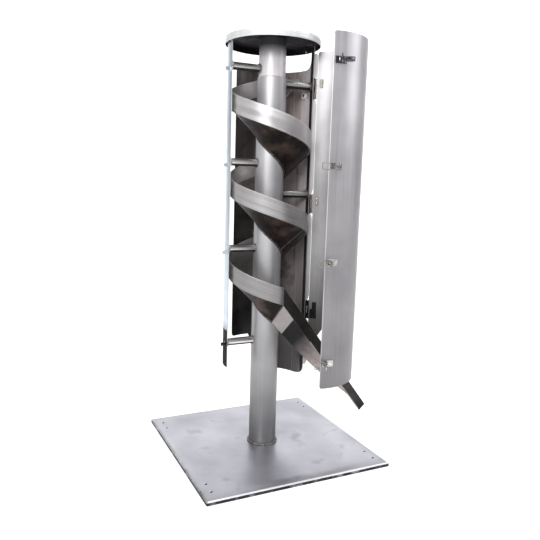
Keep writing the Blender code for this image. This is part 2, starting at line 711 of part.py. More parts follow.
def main():
    """Build the whole part."""
    clear_scene()
    materials = {"brushed": steel("brushed_steel", BRUSHED, 0.38), "bright": steel("bright_steel", BRIGHT, 0.30),
                 "dull": steel("dull_steel", DULL, 0.48), "fastener": steel("fastener_steel", FASTENER, 0.35)}
    build_foot(materials)
    build_column(materials)
    build_cap(materials)
    build_rods(materials)
    build_rails(materials)
    build_boss(materials)
    build_rear_shell(materials)
    build_spiral(materials)
    build_chute(materials)
    shift = (*HINGE_AXIS, 0.0)
    pivot = guide("door_pivot", shift, DOOR_OPEN)
    build_door(materials, pivot, shift)
    build_hinges(materials, pivot, shift)
    for index, height in enumerate(LATCH_HEIGHTS, 1):
        build_latch(materials, pivot, shift, index, height)
    build_keepers(materials)
    build_latch_pins(materials, pivot, shift)


main()
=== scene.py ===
"""Looks of the spiral gravity separator: its sheet metal, welds, fittings, studio and camera."""
import logging
import math
from collections.abc import Callable, Iterable, Sequence
from dataclasses import dataclass
from enum import Enum

import bmesh
import bpy
from mathutils import Matrix, Vector


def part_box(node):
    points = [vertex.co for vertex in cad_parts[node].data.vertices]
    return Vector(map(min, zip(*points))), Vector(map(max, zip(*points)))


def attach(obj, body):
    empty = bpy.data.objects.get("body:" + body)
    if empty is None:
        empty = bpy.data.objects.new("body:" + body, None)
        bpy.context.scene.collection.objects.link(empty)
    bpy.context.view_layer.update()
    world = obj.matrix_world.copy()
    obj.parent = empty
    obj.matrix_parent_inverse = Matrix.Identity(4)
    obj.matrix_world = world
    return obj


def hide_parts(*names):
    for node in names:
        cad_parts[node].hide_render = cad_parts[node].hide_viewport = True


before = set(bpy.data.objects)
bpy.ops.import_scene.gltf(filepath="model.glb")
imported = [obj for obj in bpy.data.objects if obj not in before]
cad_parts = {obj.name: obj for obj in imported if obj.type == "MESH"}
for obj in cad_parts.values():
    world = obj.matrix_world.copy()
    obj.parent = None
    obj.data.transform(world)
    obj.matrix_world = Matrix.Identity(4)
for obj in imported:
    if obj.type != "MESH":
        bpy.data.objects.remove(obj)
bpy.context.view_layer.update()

LOG = logging.getLogger("separator")
Colour = tuple[float, float, float]
Outline = list[tuple[float, float]]


# ---------------------------------------------------------------- finishes

class Grain(Enum):
    """Which way a finish's brush lines run over a piece, as stretches along and across it."""

    LENGTHWISE = (2.5, 330.0)
    CROSSWISE = (330.0, 2.5)
    MOTTLED = (70.0, 70.0)


class NodeBench:
    """A short hand for laying out one material's nodes."""

    def __init__(self, material: bpy.types.Material) -> None:
        """Take over a material's node tree.

        Args:
            material: the material to fill.
        """
        self.nodes = material.node_tree.nodes
        self.links = material.node_tree.links

    def add(self, kind: str, feeds: dict | None = None, **options: object) -> bpy.types.Node:
        """Add a node.

        Args:
            kind: the node's type name.
            feeds: a value or a socket for each input, by name or number.
            options: the node's own settings.

        Returns:
            The new node.
        """
        node = self.nodes.new(kind)
        for key, value in options.items():
            setattr(node, key, value)
        for socket, value in (feeds or {}).items():
            if isinstance(value, bpy.types.NodeSocket):
                self.links.new(value, node.inputs[socket])
            else:
                node.inputs[socket].default_value = value
        return node

    def noise(self, vector: bpy.types.NodeSocket, scale: float, detail: float) -> bpy.types.NodeSocket:
        """Add a noise and return its value.

        Args:
            vector: where the noise is read.
            scale: how many blots to a metre.
            detail: how many finer layers.

        Returns:
            The noise's value socket.
        """
        node = self.add("ShaderNodeTexNoise", {"Vector": vector, "Scale": scale, "Detail": detail})
        return node.outputs["Fac"]

    def stretch(self, value: bpy.types.NodeSocket, source: tuple[float, float],
                target: tuple[float, float]) -> bpy.types.NodeSocket:
        """Map a value from one range to another, clamped.

        Args:
            value: the value to map.
            source: the range it comes from.
            target: the range it goes to.

        Returns:
            The mapped value socket.
        """
        feeds = {"Value": value, "From Min": source[0], "From Max": source[1],
                 "To Min": target[0], "To Max": target[1]}
        return self.add("ShaderNodeMapRange", feeds).outputs["Result"]

    def blend(self, share: bpy.types.NodeSocket | float, first: object, second: object,
              mode: str = "MIX") -> bpy.types.NodeSocket:
        """Mix two colours.

        Args:
            share: how much of the second, a value or a socket.
            first: a colour or a socket.
            second: a colour or a socket.
            mode: how they mix.

        Returns:
            The mixed colour socket.
        """
        node = self.add("ShaderNodeMix", {0: share, 6: first, 7: second}, data_type="RGBA", blend_type=mode)
        return node.outputs[2]


@dataclass(frozen=True)
class SteelFinish:
    """A procedural steel: brushed or mottled, clouded, stained, and shaded along one axis.

    The painted shade ramp and the side shade are each a start, an end and the tone at the start; both are painted
    shade that darkens the colour, the ramp along its own axis, the side shade along X.
    """

    name: str
    light: Colour
    dark: Colour
    metallic: float = 0.9
    roughness: tuple[float, float] = (0.26, 0.42)
    grain: Grain = Grain.LENGTHWISE
    grain_share: float = 0.4
    grain_depth: float = 0.00015
    cloud_size: float = 0.12
    wave_depth: float = 0.0
    painted_shade_ramp: tuple[float, float, float] | None = None
    painted_shade_axis: str = "Z"
    shade: tuple[float, float, float] | None = None
    gloss: float = 0.5
    stain: Colour | None = None
    stain_from: float = 0.62
    stain_size: float = 0.08

    def build(self) -> bpy.types.Material:
        """Return the finish as a node material.

        Returns:
            The new material.
        """
        material = bpy.data.materials.new(self.name)
        material.use_nodes = True
        material.diffuse_color = (*self.light, 1.0)
        bench = NodeBench(material)
        place = bench.add("ShaderNodeTexCoord")
        lines, clouds = self._pattern(bench, place)
        colour = self._colour(bench, place, lines, clouds)
        shader = material.node_tree.nodes["Principled BSDF"]
        shader.inputs["Metallic"].default_value = self.metallic
        shader.inputs["Specular IOR Level"].default_value = self.gloss
        bench.links.new(colour, shader.inputs["Base Color"])
        bench.links.new(bench.stretch(lines, (0.3, 0.7), self.roughness), shader.inputs["Roughness"])
        bench.links.new(self._relief(bench, place, lines), shader.inputs["Normal"])
        return material

    def _pattern(self, bench: NodeBench,
                 place: bpy.types.Node) -> tuple[bpy.types.NodeSocket, bpy.types.NodeSocket]:
        """Return the brush lines' value and the clouds' value.

        Args:
            bench: the material's bench.
            place: the node that gives the coordinates.

        Returns:
            The two value sockets.
        """
        along, across = self.grain.value
        mottled = self.grain is Grain.MOTTLED
        source = place.outputs["Object"] if mottled else place.outputs["UV"]
        laid = bench.add("ShaderNodeMapping", {"Vector": source, "Scale": (along, across, along)})
        lines = bench.noise(laid.outputs["Vector"], 1.0, 4.0)
        clouds = bench.noise(place.outputs["Object"], 1.0 / self.cloud_size, 3.0)
        return lines, clouds

    def _colour(self, bench: NodeBench, place: bpy.types.Node, lines: bpy.types.NodeSocket,
                clouds: bpy.types.NodeSocket) -> bpy.types.NodeSocket:
        """Return the colour from the lines, the clouds, the stains and the painted shade ramps.

        Args:
            bench: the material's bench.
            place: the node that gives the coordinates.
            lines: the brush lines' value.
            clouds: the clouds' value.

        Returns:
            The colour socket.
        """
        mixed = bench.add("ShaderNodeMix", {0: self.grain_share, 2: clouds, 3: lines}).outputs[0]
        share = bench.stretch(mixed, (0.36, 0.64), (0.0, 1.0))
        colour = bench.blend(share, (*self.dark, 1.0), (*self.light, 1.0))
        if self.stain:
            blots = bench.noise(place.outputs["Object"], 1.0 / self.stain_size, 5.0)
            soaked = bench.stretch(blots, (self.stain_from - 0.07, self.stain_from + 0.07), (0.0, 0.85))
            colour = bench.blend(soaked, colour, (*self.stain, 1.0))
        # Painted shade: each ramp multiplies the colour by a grey that runs from its tone at the start up to white
        # at the end.
        for painted_shade_ramp, axis in ((self.painted_shade_ramp, self.painted_shade_axis), (self.shade, "X")):
            if painted_shade_ramp:
                low, high, tone = painted_shade_ramp
                along = bench.add("ShaderNodeSeparateXYZ", {0: place.outputs["Object"]}).outputs[axis]
                share = bench.stretch(along, (low, high), (tone, 1.0))
                grey = bench.add("ShaderNodeCombineColor", {0: share, 1: share, 2: share}).outputs[0]
                colour = bench.blend(1.0, colour, grey, "MULTIPLY")
        return colour

    def _relief(self, bench: NodeBench, place: bpy.types.Node,
                lines: bpy.types.NodeSocket) -> bpy.types.NodeSocket:
        """Return the normal that the brush lines and the sheet's waves give.

        Args:
            bench: the material's bench.
            place: the node that gives the coordinates.
            lines: the brush lines' value.

        Returns:
            The normal socket.
        """
        fine = bench.add("ShaderNodeBump", {"Height": lines, "Distance": self.grain_depth, "Strength": 0.6})
        if self.wave_depth:
            waves = bench.noise(place.outputs["Object"], 7.0, 1.0)
            broad = bench.add("ShaderNodeBump", {"Height": waves, "Distance": self.wave_depth, "Strength": 1.0,
                                                 "Normal": fine.outputs["Normal"]})
            return broad.outputs["Normal"]
        return fine.outputs["Normal"]


PLATE_TOP = SteelFinish("foot_plate_top", (0.56, 0.56, 0.61), (0.38, 0.38, 0.43), roughness=(0.32, 0.44),
                        grain_share=0.3, cloud_size=0.17, stain=(0.30, 0.29, 0.33), stain_from=0.68,
                        wave_depth=0.004)
# Painted highlight: the sloped ground edge round the plate's top is near white; its left-facing part takes a darker
# painted shade, and the upright sides a near-black painted shade with pale streaks.
PLATE_RIM_HIGHLIGHT = SteelFinish("foot_plate_rim_highlight", (0.97, 0.97, 0.98), (0.85, 0.85, 0.87), metallic=0.3)
PLATE_RIM_SHADED = SteelFinish("foot_plate_rim_shaded", (0.50, 0.50, 0.53), (0.22, 0.22, 0.24), metallic=0.7,
                             grain=Grain.MOTTLED, cloud_size=0.03)
PLATE_SIDE_SHADE = SteelFinish("foot_plate_side_shade", (0.045, 0.045, 0.05), (0.004, 0.004, 0.005), metallic=0.6,
                         roughness=(0.5, 0.7), grain=Grain.MOTTLED, cloud_size=0.04,
                         stain=(0.42, 0.42, 0.46), stain_from=0.60, stain_size=0.05)
# Painted shade: the column tube darkens towards its foot.
TUBE = SteelFinish("column_tube", (0.80, 0.79, 0.81), (0.62, 0.61, 0.63), roughness=(0.38, 0.50), metallic=0.62,
                   grain=Grain.CROSSWISE, grain_share=0.35, painted_shade_ramp=(0.10, 1.12, 0.34))
WELD = SteelFinish("weld_bead", (0.46, 0.44, 0.43), (0.18, 0.16, 0.15), roughness=(0.35, 0.55),
                   grain=Grain.MOTTLED, cloud_size=0.006)
BRIGHT_WELD = SteelFinish("bright_weld", (0.92, 0.90, 0.88), (0.55, 0.53, 0.52), metallic=0.6,
                          grain=Grain.MOTTLED, cloud_size=0.006)
CAP_RIM = SteelFinish("cap_rim", (0.90, 0.91, 0.91), (0.72, 0.73, 0.74), metallic=0.4, roughness=(0.34, 0.46),
                      wave_depth=0.001)
# Painted shade: the inside of the cap pan is near black.
CAP_UNDER_SHADE = SteelFinish("cap_underside_shade", (0.016, 0.013, 0.018), (0.003, 0.002, 0.004), metallic=0.0,
                        roughness=(0.6, 0.8), grain=Grain.MOTTLED, stain=(0.07, 0.06, 0.07), stain_from=0.64,
                        stain_size=0.06, gloss=0.08)
ROD_SHADE = SteelFinish("standoff_rod_shade", (0.05, 0.045, 0.045), (0.012, 0.010, 0.010), metallic=0.0,
                        roughness=(0.5, 0.7), gloss=0.2)
BAIL = SteelFinish("latch_bail", (0.42, 0.41, 0.39), (0.16, 0.15, 0.145), metallic=0.9,
                   roughness=(0.2, 0.35), cloud_size=0.012)
BACKING = SteelFinish("hinge_backing", (0.42, 0.40, 0.37), (0.24, 0.22, 0.20), metallic=0.5,
                      roughness=(0.35, 0.5), cloud_size=0.012)
# Painted shade: this finish turns nearly black below about 0.38 m.
RAIL_BRIGHT = SteelFinish("rail_bright", (0.80, 0.86, 0.92), (0.60, 0.68, 0.77), metallic=0.9,
                          grain=Grain.CROSSWISE, painted_shade_ramp=(0.38, 0.43, 0.025))
# Painted shade: the rail's inside darkens towards its foot and towards -X.
RAIL_INNER = SteelFinish("rail_inner", (0.94, 0.87, 0.89), (0.64, 0.57, 0.58), metallic=0.12,
                         grain=Grain.CROSSWISE, grain_share=0.6, painted_shade_ramp=(0.30, 1.12, 0.035), shade=(-0.10, 0.0, 0.05),
                         stain=(0.16, 0.10, 0.09), stain_from=0.64)
# Painted shade: the seam darkens towards its foot.
RAIL_SEAM = SteelFinish("rail_seam", (0.80, 0.74, 0.74), (0.48, 0.43, 0.43), metallic=0.2,
                               painted_shade_ramp=(0.22, 1.10, 0.42))
ROD = SteelFinish("standoff_rod", (0.86, 0.84, 0.84), (0.52, 0.50, 0.50), metallic=0.92, roughness=(0.2, 0.34))
# Painted shade: the shell's inside darkens towards its foot and towards its left part behind the column; the stains
# are its own.
SHELL_IN = SteelFinish("rear_shell_inside", (0.90, 0.79, 0.78), (0.50, 0.40, 0.39), metallic=0.15,
                       grain=Grain.CROSSWISE, grain_share=0.5, wave_depth=0.002, painted_shade_ramp=(0.30, 1.15, 0.05),
                       shade=(0.0, 0.055, 0.14), stain=(0.15, 0.09, 0.075), stain_from=0.56)
# Painted shade: the shell's outside darkens towards its foot.
SHELL_OUT = SteelFinish("rear_shell_outside", (0.62, 0.61, 0.63), (0.46, 0.45, 0.47), grain=Grain.CROSSWISE,
                        wave_depth=0.002, painted_shade_ramp=(0.20, 1.20, 0.70))
FLIGHT_TOP = SteelFinish("flight_top", (0.52, 0.50, 0.49), (0.34, 0.32, 0.31), roughness=(0.25, 0.4))
# Painted shade: undersides are near black; the brown stains are their own.
FLIGHT_UNDER_SHADE = SteelFinish("flight_underside_shade", (0.040, 0.030, 0.026), (0.007, 0.005, 0.0045), metallic=0.80,
                           roughness=(0.42, 0.62), grain=Grain.MOTTLED, grain_share=0.35, cloud_size=0.05,
                           stain=(0.085, 0.055, 0.045), stain_from=0.60, stain_size=0.05)
# Painted shade: the guard darkens towards its foot.
GUARD = SteelFinish("guard_strip", (0.84, 0.82, 0.83), (0.58, 0.56, 0.57), metallic=0.75, grain_share=0.5,
                    painted_shade_ramp=(0.50, 1.05, 0.38), wave_depth=0.0012)
CHUTE_PATCH = SteelFinish("chute_underside", (0.46, 0.43, 0.42), (0.33, 0.30, 0.295), metallic=0.3,
                          roughness=(0.4, 0.6), grain=Grain.MOTTLED, grain_share=0.2)
# Painted shade: the chute's wall faces and the inner lip's outer face are near black.
CHUTE_SHADE = SteelFinish("chute_wall_shade", (0.060, 0.054, 0.050), (0.016, 0.015, 0.014), metallic=0.85,
                         roughness=(0.4, 0.6), cloud_size=0.05)
# Painted shade: the door's outside darkens towards its foot.
DOOR_OUT = SteelFinish("door_outside", (0.66, 0.64, 0.67), (0.50, 0.48, 0.51), metallic=0.75,
                       roughness=(0.34, 0.46), grain=Grain.CROSSWISE, wave_depth=0.002, painted_shade_ramp=(0.28, 1.15, 0.34))
# Painted shade: the door's inside darkens towards its foot.
DOOR_IN = SteelFinish("door_inside", (0.62, 0.61, 0.62), (0.44, 0.43, 0.44), metallic=0.75,
                      roughness=(0.34, 0.46), grain=Grain.CROSSWISE, wave_depth=0.002, painted_shade_ramp=(0.35, 1.10, 0.36))
# Painted shade: the edges darken towards the foot.
EDGE = SteelFinish("sheared_edge", (0.95, 0.94, 0.93), (0.74, 0.73, 0.72), metallic=0.5, roughness=(0.3, 0.4),
                   painted_shade_ramp=(0.30, 1.00, 0.42))
DARK_EDGE = SteelFinish("shaded_edge", (0.030, 0.028, 0.032), (0.008, 0.008, 0.008), metallic=0.0,
                        roughness=(0.6, 0.8), gloss=0.12)
HINGE = SteelFinish("hinge_steel", (0.62, 0.59, 0.57), (0.36, 0.32, 0.30), roughness=(0.28, 0.42),
                    grain_share=0.6, cloud_size=0.02)
# Painted shade: the lowest hinge is near black.
HINGE_SHADE = SteelFinish("hinge_in_shade", (0.026, 0.025, 0.030), (0.006, 0.006, 0.008), metallic=0.7,
                         roughness=(0.45, 0.6), grain=Grain.MOTTLED)
LATCH = SteelFinish("latch_steel", (0.70, 0.69, 0.68), (0.24, 0.23, 0.225), metallic=0.95,
                    roughness=(0.14, 0.28), cloud_size=0.012)
# A darker steel for the top latch's foot, lever and bail.
LATCH_DARK = SteelFinish("latch_darker", (0.20, 0.195, 0.22), (0.03, 0.03, 0.035), metallic=0.95,
                         roughness=(0.2, 0.36), cloud_size=0.012)
# Painted shade: the spigot darkens towards its top, under the cap.
SPIGOT = SteelFinish("cap_spigot", (0.92, 0.89, 0.93), (0.78, 0.75, 0.79), metallic=0.25,
                     grain=Grain.CROSSWISE, roughness=(0.35, 0.45), painted_shade_ramp=(1.272, 1.232, 0.08))
SHADED_WELD = SteelFinish("shaded_weld", (0.12, 0.10, 0.095), (0.035, 0.03, 0.028), metallic=0.7,
                          roughness=(0.4, 0.6), grain=Grain.MOTTLED, cloud_size=0.006)
# Painted shade: the floor's underside darkens to nearly black towards the spiral, along X.
CHUTE_UNDER = SteelFinish("chute_floor_underside", (0.70, 0.61, 0.58), (0.40, 0.33, 0.31), metallic=0.30,
                          roughness=(0.38, 0.55), grain=Grain.MOTTLED, grain_share=0.4, cloud_size=0.035,
                          painted_shade_ramp=(0.075, 0.160, 0.018), painted_shade_axis="X")
# Painted highlight: the boss is near white and nearly matt so that it reads as a bright ring.
BOSS_GLINT = SteelFinish("rail_boss", (0.98, 0.98, 1.0), (0.86, 0.86, 0.90), metallic=0.05, grain=Grain.MOTTLED)
RIVET = SteelFinish("rivet_head", (0.74, 0.73, 0.72), (0.36, 0.34, 0.33), roughness=(0.18, 0.3), cloud_size=0.01)


class FinishRack:
    """The materials in use, each made once from its finish."""

    made: dict[str, bpy.types.Material] = {}

    @classmethod
    def take(cls, finish: SteelFinish) -> bpy.types.Material:
        """Return the material of a finish, made at its first use.

        Args:
            finish: the finish wanted.

        Returns:
            Its material.
        """
        if finish.name not in cls.made:
            cls.made[finish.name] = finish.build()
        return cls.made[finish.name]


# ---------------------------------------------------------------- mesh work

def polar(radius: float, azimuth: float, height: float) -> Vector:
    """Return the point at a radius, an angle in degrees and a height."""
    angle = math.radians(azimuth)
    return Vector((radius * math.cos(angle), radius * math.sin(angle), height))


def spread(start: float, end: float, step: float) -> list[float]:
    """Return evenly spaced values from start to end, no further apart than step."""
    count = max(1, math.ceil(abs(end - start) / step - 1e-9))
    return [start + (end - start) * index / count for index in range(count + 1)]


def rounded(distance: float, radius: float) -> float:
    """Return how far an edge pulls in at a distance from a corner rounded to a radius.

    Args:
        distance: how far from the corner.
        radius: the corner's radius.

    Returns:
        The pull-in, none past the radius.
    """
    if distance >= radius:
        return 0.0
    return radius - math.sqrt(max(0.0, radius * radius - (radius - distance) ** 2))


def arc(azimuth: float, other: float, radius: float) -> float:
    """Return the distance along an arc between two angles."""
    return abs(math.radians(azimuth - other)) * radius


def eased_rectangle(low: tuple[float, float], high: tuple[float, float], ease: float) -> Outline:
    """Return a rectangle's outline with its four corners cut at 45 degrees.

    Args:
        low: its left foot corner.
        high: its right head corner.
        ease: how much the corners are cut.

    Returns:
        The eight points in turn.
    """
    (left, foot), (right, head) = low, high
    return [(left + ease, foot), (right - ease, foot), (right, foot + ease), (right, head - ease),
            (right - ease, head), (left + ease, head), (left, head - ease), (left, foot + ease)]


class Draft:
    """A mesh in the making, with a layout in metres along and around it for the brush lines."""

    def __init__(self) -> None:
        """Start empty."""
        self.mesh = bmesh.new()
        self.layout = self.mesh.loops.layers.uv.new("grain")

    def loft(self, sections: Sequence[Sequence[Vector]], ring: bool = False, finish: int = 0,
             pick: Callable[[int], int] | None = None, cap: int | None = None) -> None:
        """Join equal sections in turn into one closed skin.

        Args:
            sections: the sections, each a closed loop of points.
            ring: whether the last section joins the first.
            finish: the finish number of the sides.
            pick: gives the finish number of each side by its place in the section.
            cap: the finish number of the two ends, where it differs.
        """
        loops = [[self.mesh.verts.new(point) for point in section] for section in sections]
        count = len(sections[0])
        middles = [sum(section, Vector()) / count for section in sections]
        along = [0.0]
        for first, second in zip(middles, middles[1:] + middles[:1]):
            step = (second - first).length
            along.append(along[-1] + max(step, 1e-6))
        if ring:
            radius = max((point.xy.length for point in sections[0]), default=0.0)
            along = [radius * 2.0 * math.pi * index / len(sections) for index in range(len(sections) + 1)] \
                if along[-1] < 1e-3 else along
        around = [0.0]
        for index in range(count):
            around.append(around[-1] + (sections[0][(index + 1) % count] - sections[0][index]).length)
        faces = []
        for row in range(len(sections) if ring else len(sections) - 1):
            first, second = loops[row], loops[(row + 1) % len(sections)]
            for index in range(count):
                after = (index + 1) % count
                face = self.mesh.faces.new((first[index], first[after], second[after], second[index]))
                spots = ((along[row], around[index]), (along[row], around[index + 1]),
                         (along[row + 1], around[index + 1]), (along[row + 1], around[index]))
                for corner, spot in zip(face.loops, spots):
                    corner[self.layout].uv = spot
                face.material_index = pick(index) if pick else finish
                faces.append(face)
        if not ring:
            for face in (self.mesh.faces.new(loops[0][::-1]), self.mesh.faces.new(loops[-1])):
                for corner in face.loops:
                    corner[self.layout].uv = (corner.vert.co.x + corner.vert.co.y, corner.vert.co.z)
                face.material_index = finish if cap is None else cap
                faces.append(face)
        self._face_outwards(faces)

    def _face_outwards(self, faces: list[bmesh.types.BMFace]) -> None:
        """Turn a closed skin's faces round where they point inwards.

        Args:
            faces: the skin's faces.
        """
        volume = 0.0
        for face in faces:
            face.smooth = True
            start = face.verts[0].co
            for second, third in zip(face.verts[1:-1], face.verts[2:]):
                volume += start.dot(second.co.cross(third.co))
        if volume < 0.0:
            bmesh.ops.reverse_faces(self.mesh, faces=faces)

    def lathe(self, profile: Outline, count: int, matrix: Matrix | None = None,
              pick: Callable[[int], int] | None = None, finish: int = 0) -> None:
        """Turn a closed (radius, height) outline that stays off the axis all the way round.

        Args:
            profile: the outline.
            count: how many steps round.
            matrix: where the turned piece stands.
            pick: gives each side's finish number.
            finish: the finish number of every side otherwise.
        """
        matrix = matrix or Matrix()
        sections = [[matrix @ polar(radius, 360.0 * index / count, height) for radius, height in profile]
                    for index in range(count)]
        self.loft(sections, ring=True, pick=pick, finish=finish)

    def rod(self, rings: Iterable[tuple[float, float]], count: int, matrix: Matrix | None = None,
            finish: int = 0) -> None:
        """Stack (radius, height) rings into a round solid along the local Z axis.

        Args:
            rings: the radius and the height of each ring.
            count: how many steps round.
            matrix: where the rod stands.
            finish: the finish number.
        """
        matrix = matrix or Matrix()
        self.loft([[matrix @ polar(radius, 360.0 * index / count, height) for index in range(count)]
                   for radius, height in rings], finish=finish)

    def block(self, low: Sequence[float], high: Sequence[float], ease: float,
              matrix: Matrix | None = None, finish: int = 0) -> None:
        """Add a box with cut edges between two corners.

        Args:
            low: its low corner.
            high: its high corner.
            ease: how much its edges are cut.
            matrix: where the box stands.
            finish: the finish number.
        """
        matrix = matrix or Matrix()
        sections = []
        for x, shrink in ((low[0], ease), (low[0] + ease, 0.0), (high[0] - ease, 0.0), (high[0], ease)):
            outline = eased_rectangle((low[1] + shrink, low[2] + shrink), (high[1] - shrink, high[2] - shrink),
                                      ease if shrink == 0.0 else ease * 0.5)
            sections.append([matrix @ Vector((x, y, z)) for y, z in outline])
        self.loft(sections, finish=finish)

    def wire(self, points: Sequence[Vector], radius: Callable[[int], float] | float, sides: int,
             closed: bool = False, finish: int = 0) -> None:
        """Sweep a round section along a path.

        Args:
            points: the path.
            radius: the section's radius, or a function of the point's number.
            sides: how many sides the section has.
            closed: whether the path is a loop.
            finish: the finish number.
        """
        size = radius if callable(radius) else lambda index: radius
        count = len(points)
        sections = []
        side = None
        for index, point in enumerate(points):
            before = points[index - 1] if closed or index else point
            after = points[(index + 1) % count] if closed or index < count - 1 else point
            along = (after - before).normalized()
            if side is None:
                side = along.orthogonal().normalized()
            side = (side - along * side.dot(along)).normalized()
            up = along.cross(side)
            sections.append([point + (side * math.cos(turn) + up * math.sin(turn)) * size(index)
                             for turn in (2.0 * math.pi * step / sides for step in range(sides))])
        self.loft(sections, ring=closed, finish=finish)

    def bead(self, points: Sequence[Vector], radius: float, finish: int = 0, closed: bool = False) -> None:
        """Lay a rippled weld bead along a path.

        Args:
            points: the path.
            radius: the bead's mean radius.
            finish: the finish number.
            closed: whether the path is a loop.
        """
        def swell(index: int) -> float:
            """Return the bead's radius at a point, a little fuller at each ripple."""
            return radius * (1.0 + 0.16 * math.sin(index * 2.2) + 0.07 * math.sin(index * 0.73))
        self.wire(points, swell, 7, closed=closed, finish=finish)

    def rivet(self, matrix: Matrix, radius: float, rise: float, finish: int = 0) -> None:
        """Set a domed head on a surface, its foot a little sunk."""
        self.rod(((radius, -0.0006), (radius, rise * 0.15), (radius * 0.93, rise * 0.5),
                  (radius * 0.7, rise * 0.82), (radius * 0.32, rise)), 16, matrix, finish)

    def sheet(self, radii: tuple[float, float], azimuths: Sequence[float], low: Callable[[float], float],
              high: Callable[[float], float], ease: float = 0.0004, cap: int | None = None,
              sides: tuple[int, int, int] = (0, 0, 0), rows: int = 1) -> None:
        """Bend a sheet round the column's axis.

        Args:
            radii: its inner and outer radius.
            azimuths: where its sections stand.
            low: its lower edge at each angle.
            high: its upper edge at each angle.
            ease: how far its edges are cut.
            cap: the finish number of its two upright edges.
            sides: the finish numbers of its outside, its inside and its edges.
            rows: how many bands its height is divided into.
        """
        inner, outer = radii
        outside, inside, edge = sides
        marks = [edge, edge] + [outside] * rows + [edge, edge, edge] + [inside] * rows + [edge]
        sections = []
        last = len(azimuths) - 1
        for number, azimuth in enumerate(azimuths):
            shrink = ease if number in (0, last) else 0.0
            foot, head = low(azimuth) + shrink, high(azimuth) - shrink
            near, far = inner + shrink, outer - shrink
            cut = ease if shrink == 0.0 else ease * 0.4
            levels = spread(foot + cut, head - cut, (head - foot) / rows)[:rows + 1]
            outline = [(near + cut, foot), (far - cut, foot)] + [(far, level) for level in levels]
            outline += [(far - cut, head), (near + cut, head)] + [(near, level) for level in reversed(levels)]
            sections.append([polar(radius, azimuth, height) for radius, height in outline])
        self.loft(sections, pick=lambda index: marks[index], cap=cap)

    def show(self, name: str, body: str, slot: str, finishes: Sequence[SteelFinish],
             nodes: Sequence[str] = (), matrix: Matrix | None = None, sharp: float = 38.0) -> bpy.types.Object:
        """Turn the draft into a piece of the object.

        Args:
            name: the piece's name.
            body: the body it moves with.
            slot: the name of a material slot; not used.
            finishes: its finishes, in the order of their numbers.
            nodes: the CAD nodes it stands for.
            matrix: a move of the whole draft.
            sharp: the angle in degrees from which an edge stays sharp.

        Returns:
            The new object.
        """
        data = bpy.data.meshes.new(name)
        if matrix:
            bmesh.ops.transform(self.mesh, matrix=matrix, verts=self.mesh.verts)
        self.mesh.to_mesh(data)
        self.mesh.free()
        data.set_sharp_from_angle(angle=math.radians(sharp))
        for finish in finishes:
            data.materials.append(FinishRack.take(finish))
        item = bpy.data.objects.new(name, data)
        bpy.context.scene.collection.objects.link(item)
        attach(item, body)
        if nodes:
            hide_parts(*nodes)
        LOG.info("%s: %d faces on %s", name, len(data.polygons), body)
        return item


def seat(azimuth: float, radius: float, height: float) -> Matrix:
    """Return the frame on a drum's outside: X towards falling angle, Y outwards, Z up."""
    turn = Matrix.Rotation(math.radians(azimuth - 90.0), 4, "Z")
    return Matrix.Translation(polar(radius, azimuth, height)) @ turn


def facing_out(azimuth: float, radius: float, height: float) -> Matrix:
    """Return the frame on a drum's outside whose Z axis points outwards."""
    return seat(azimuth, radius, height) @ Matrix.Rotation(-math.pi / 2.0, 4, "X")


def ring_path(radius: float, height: float, count: int) -> list[Vector]:
    """Return the points of a level circle about the column's axis."""
    return [polar(radius, 360.0 * index / count, height) for index in range(count)]


def dress(node: str, finish: SteelFinish) -> None:
    """Give a CAD node that keeps its own shape a finish.

    Args:
        node: the CAD node's name.
        finish: the finish it takes.
    """
    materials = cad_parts[node].data.materials
    materials.clear()
    materials.append(FinishRack.take(finish))


# ---------------------------------------------------------------- the stand

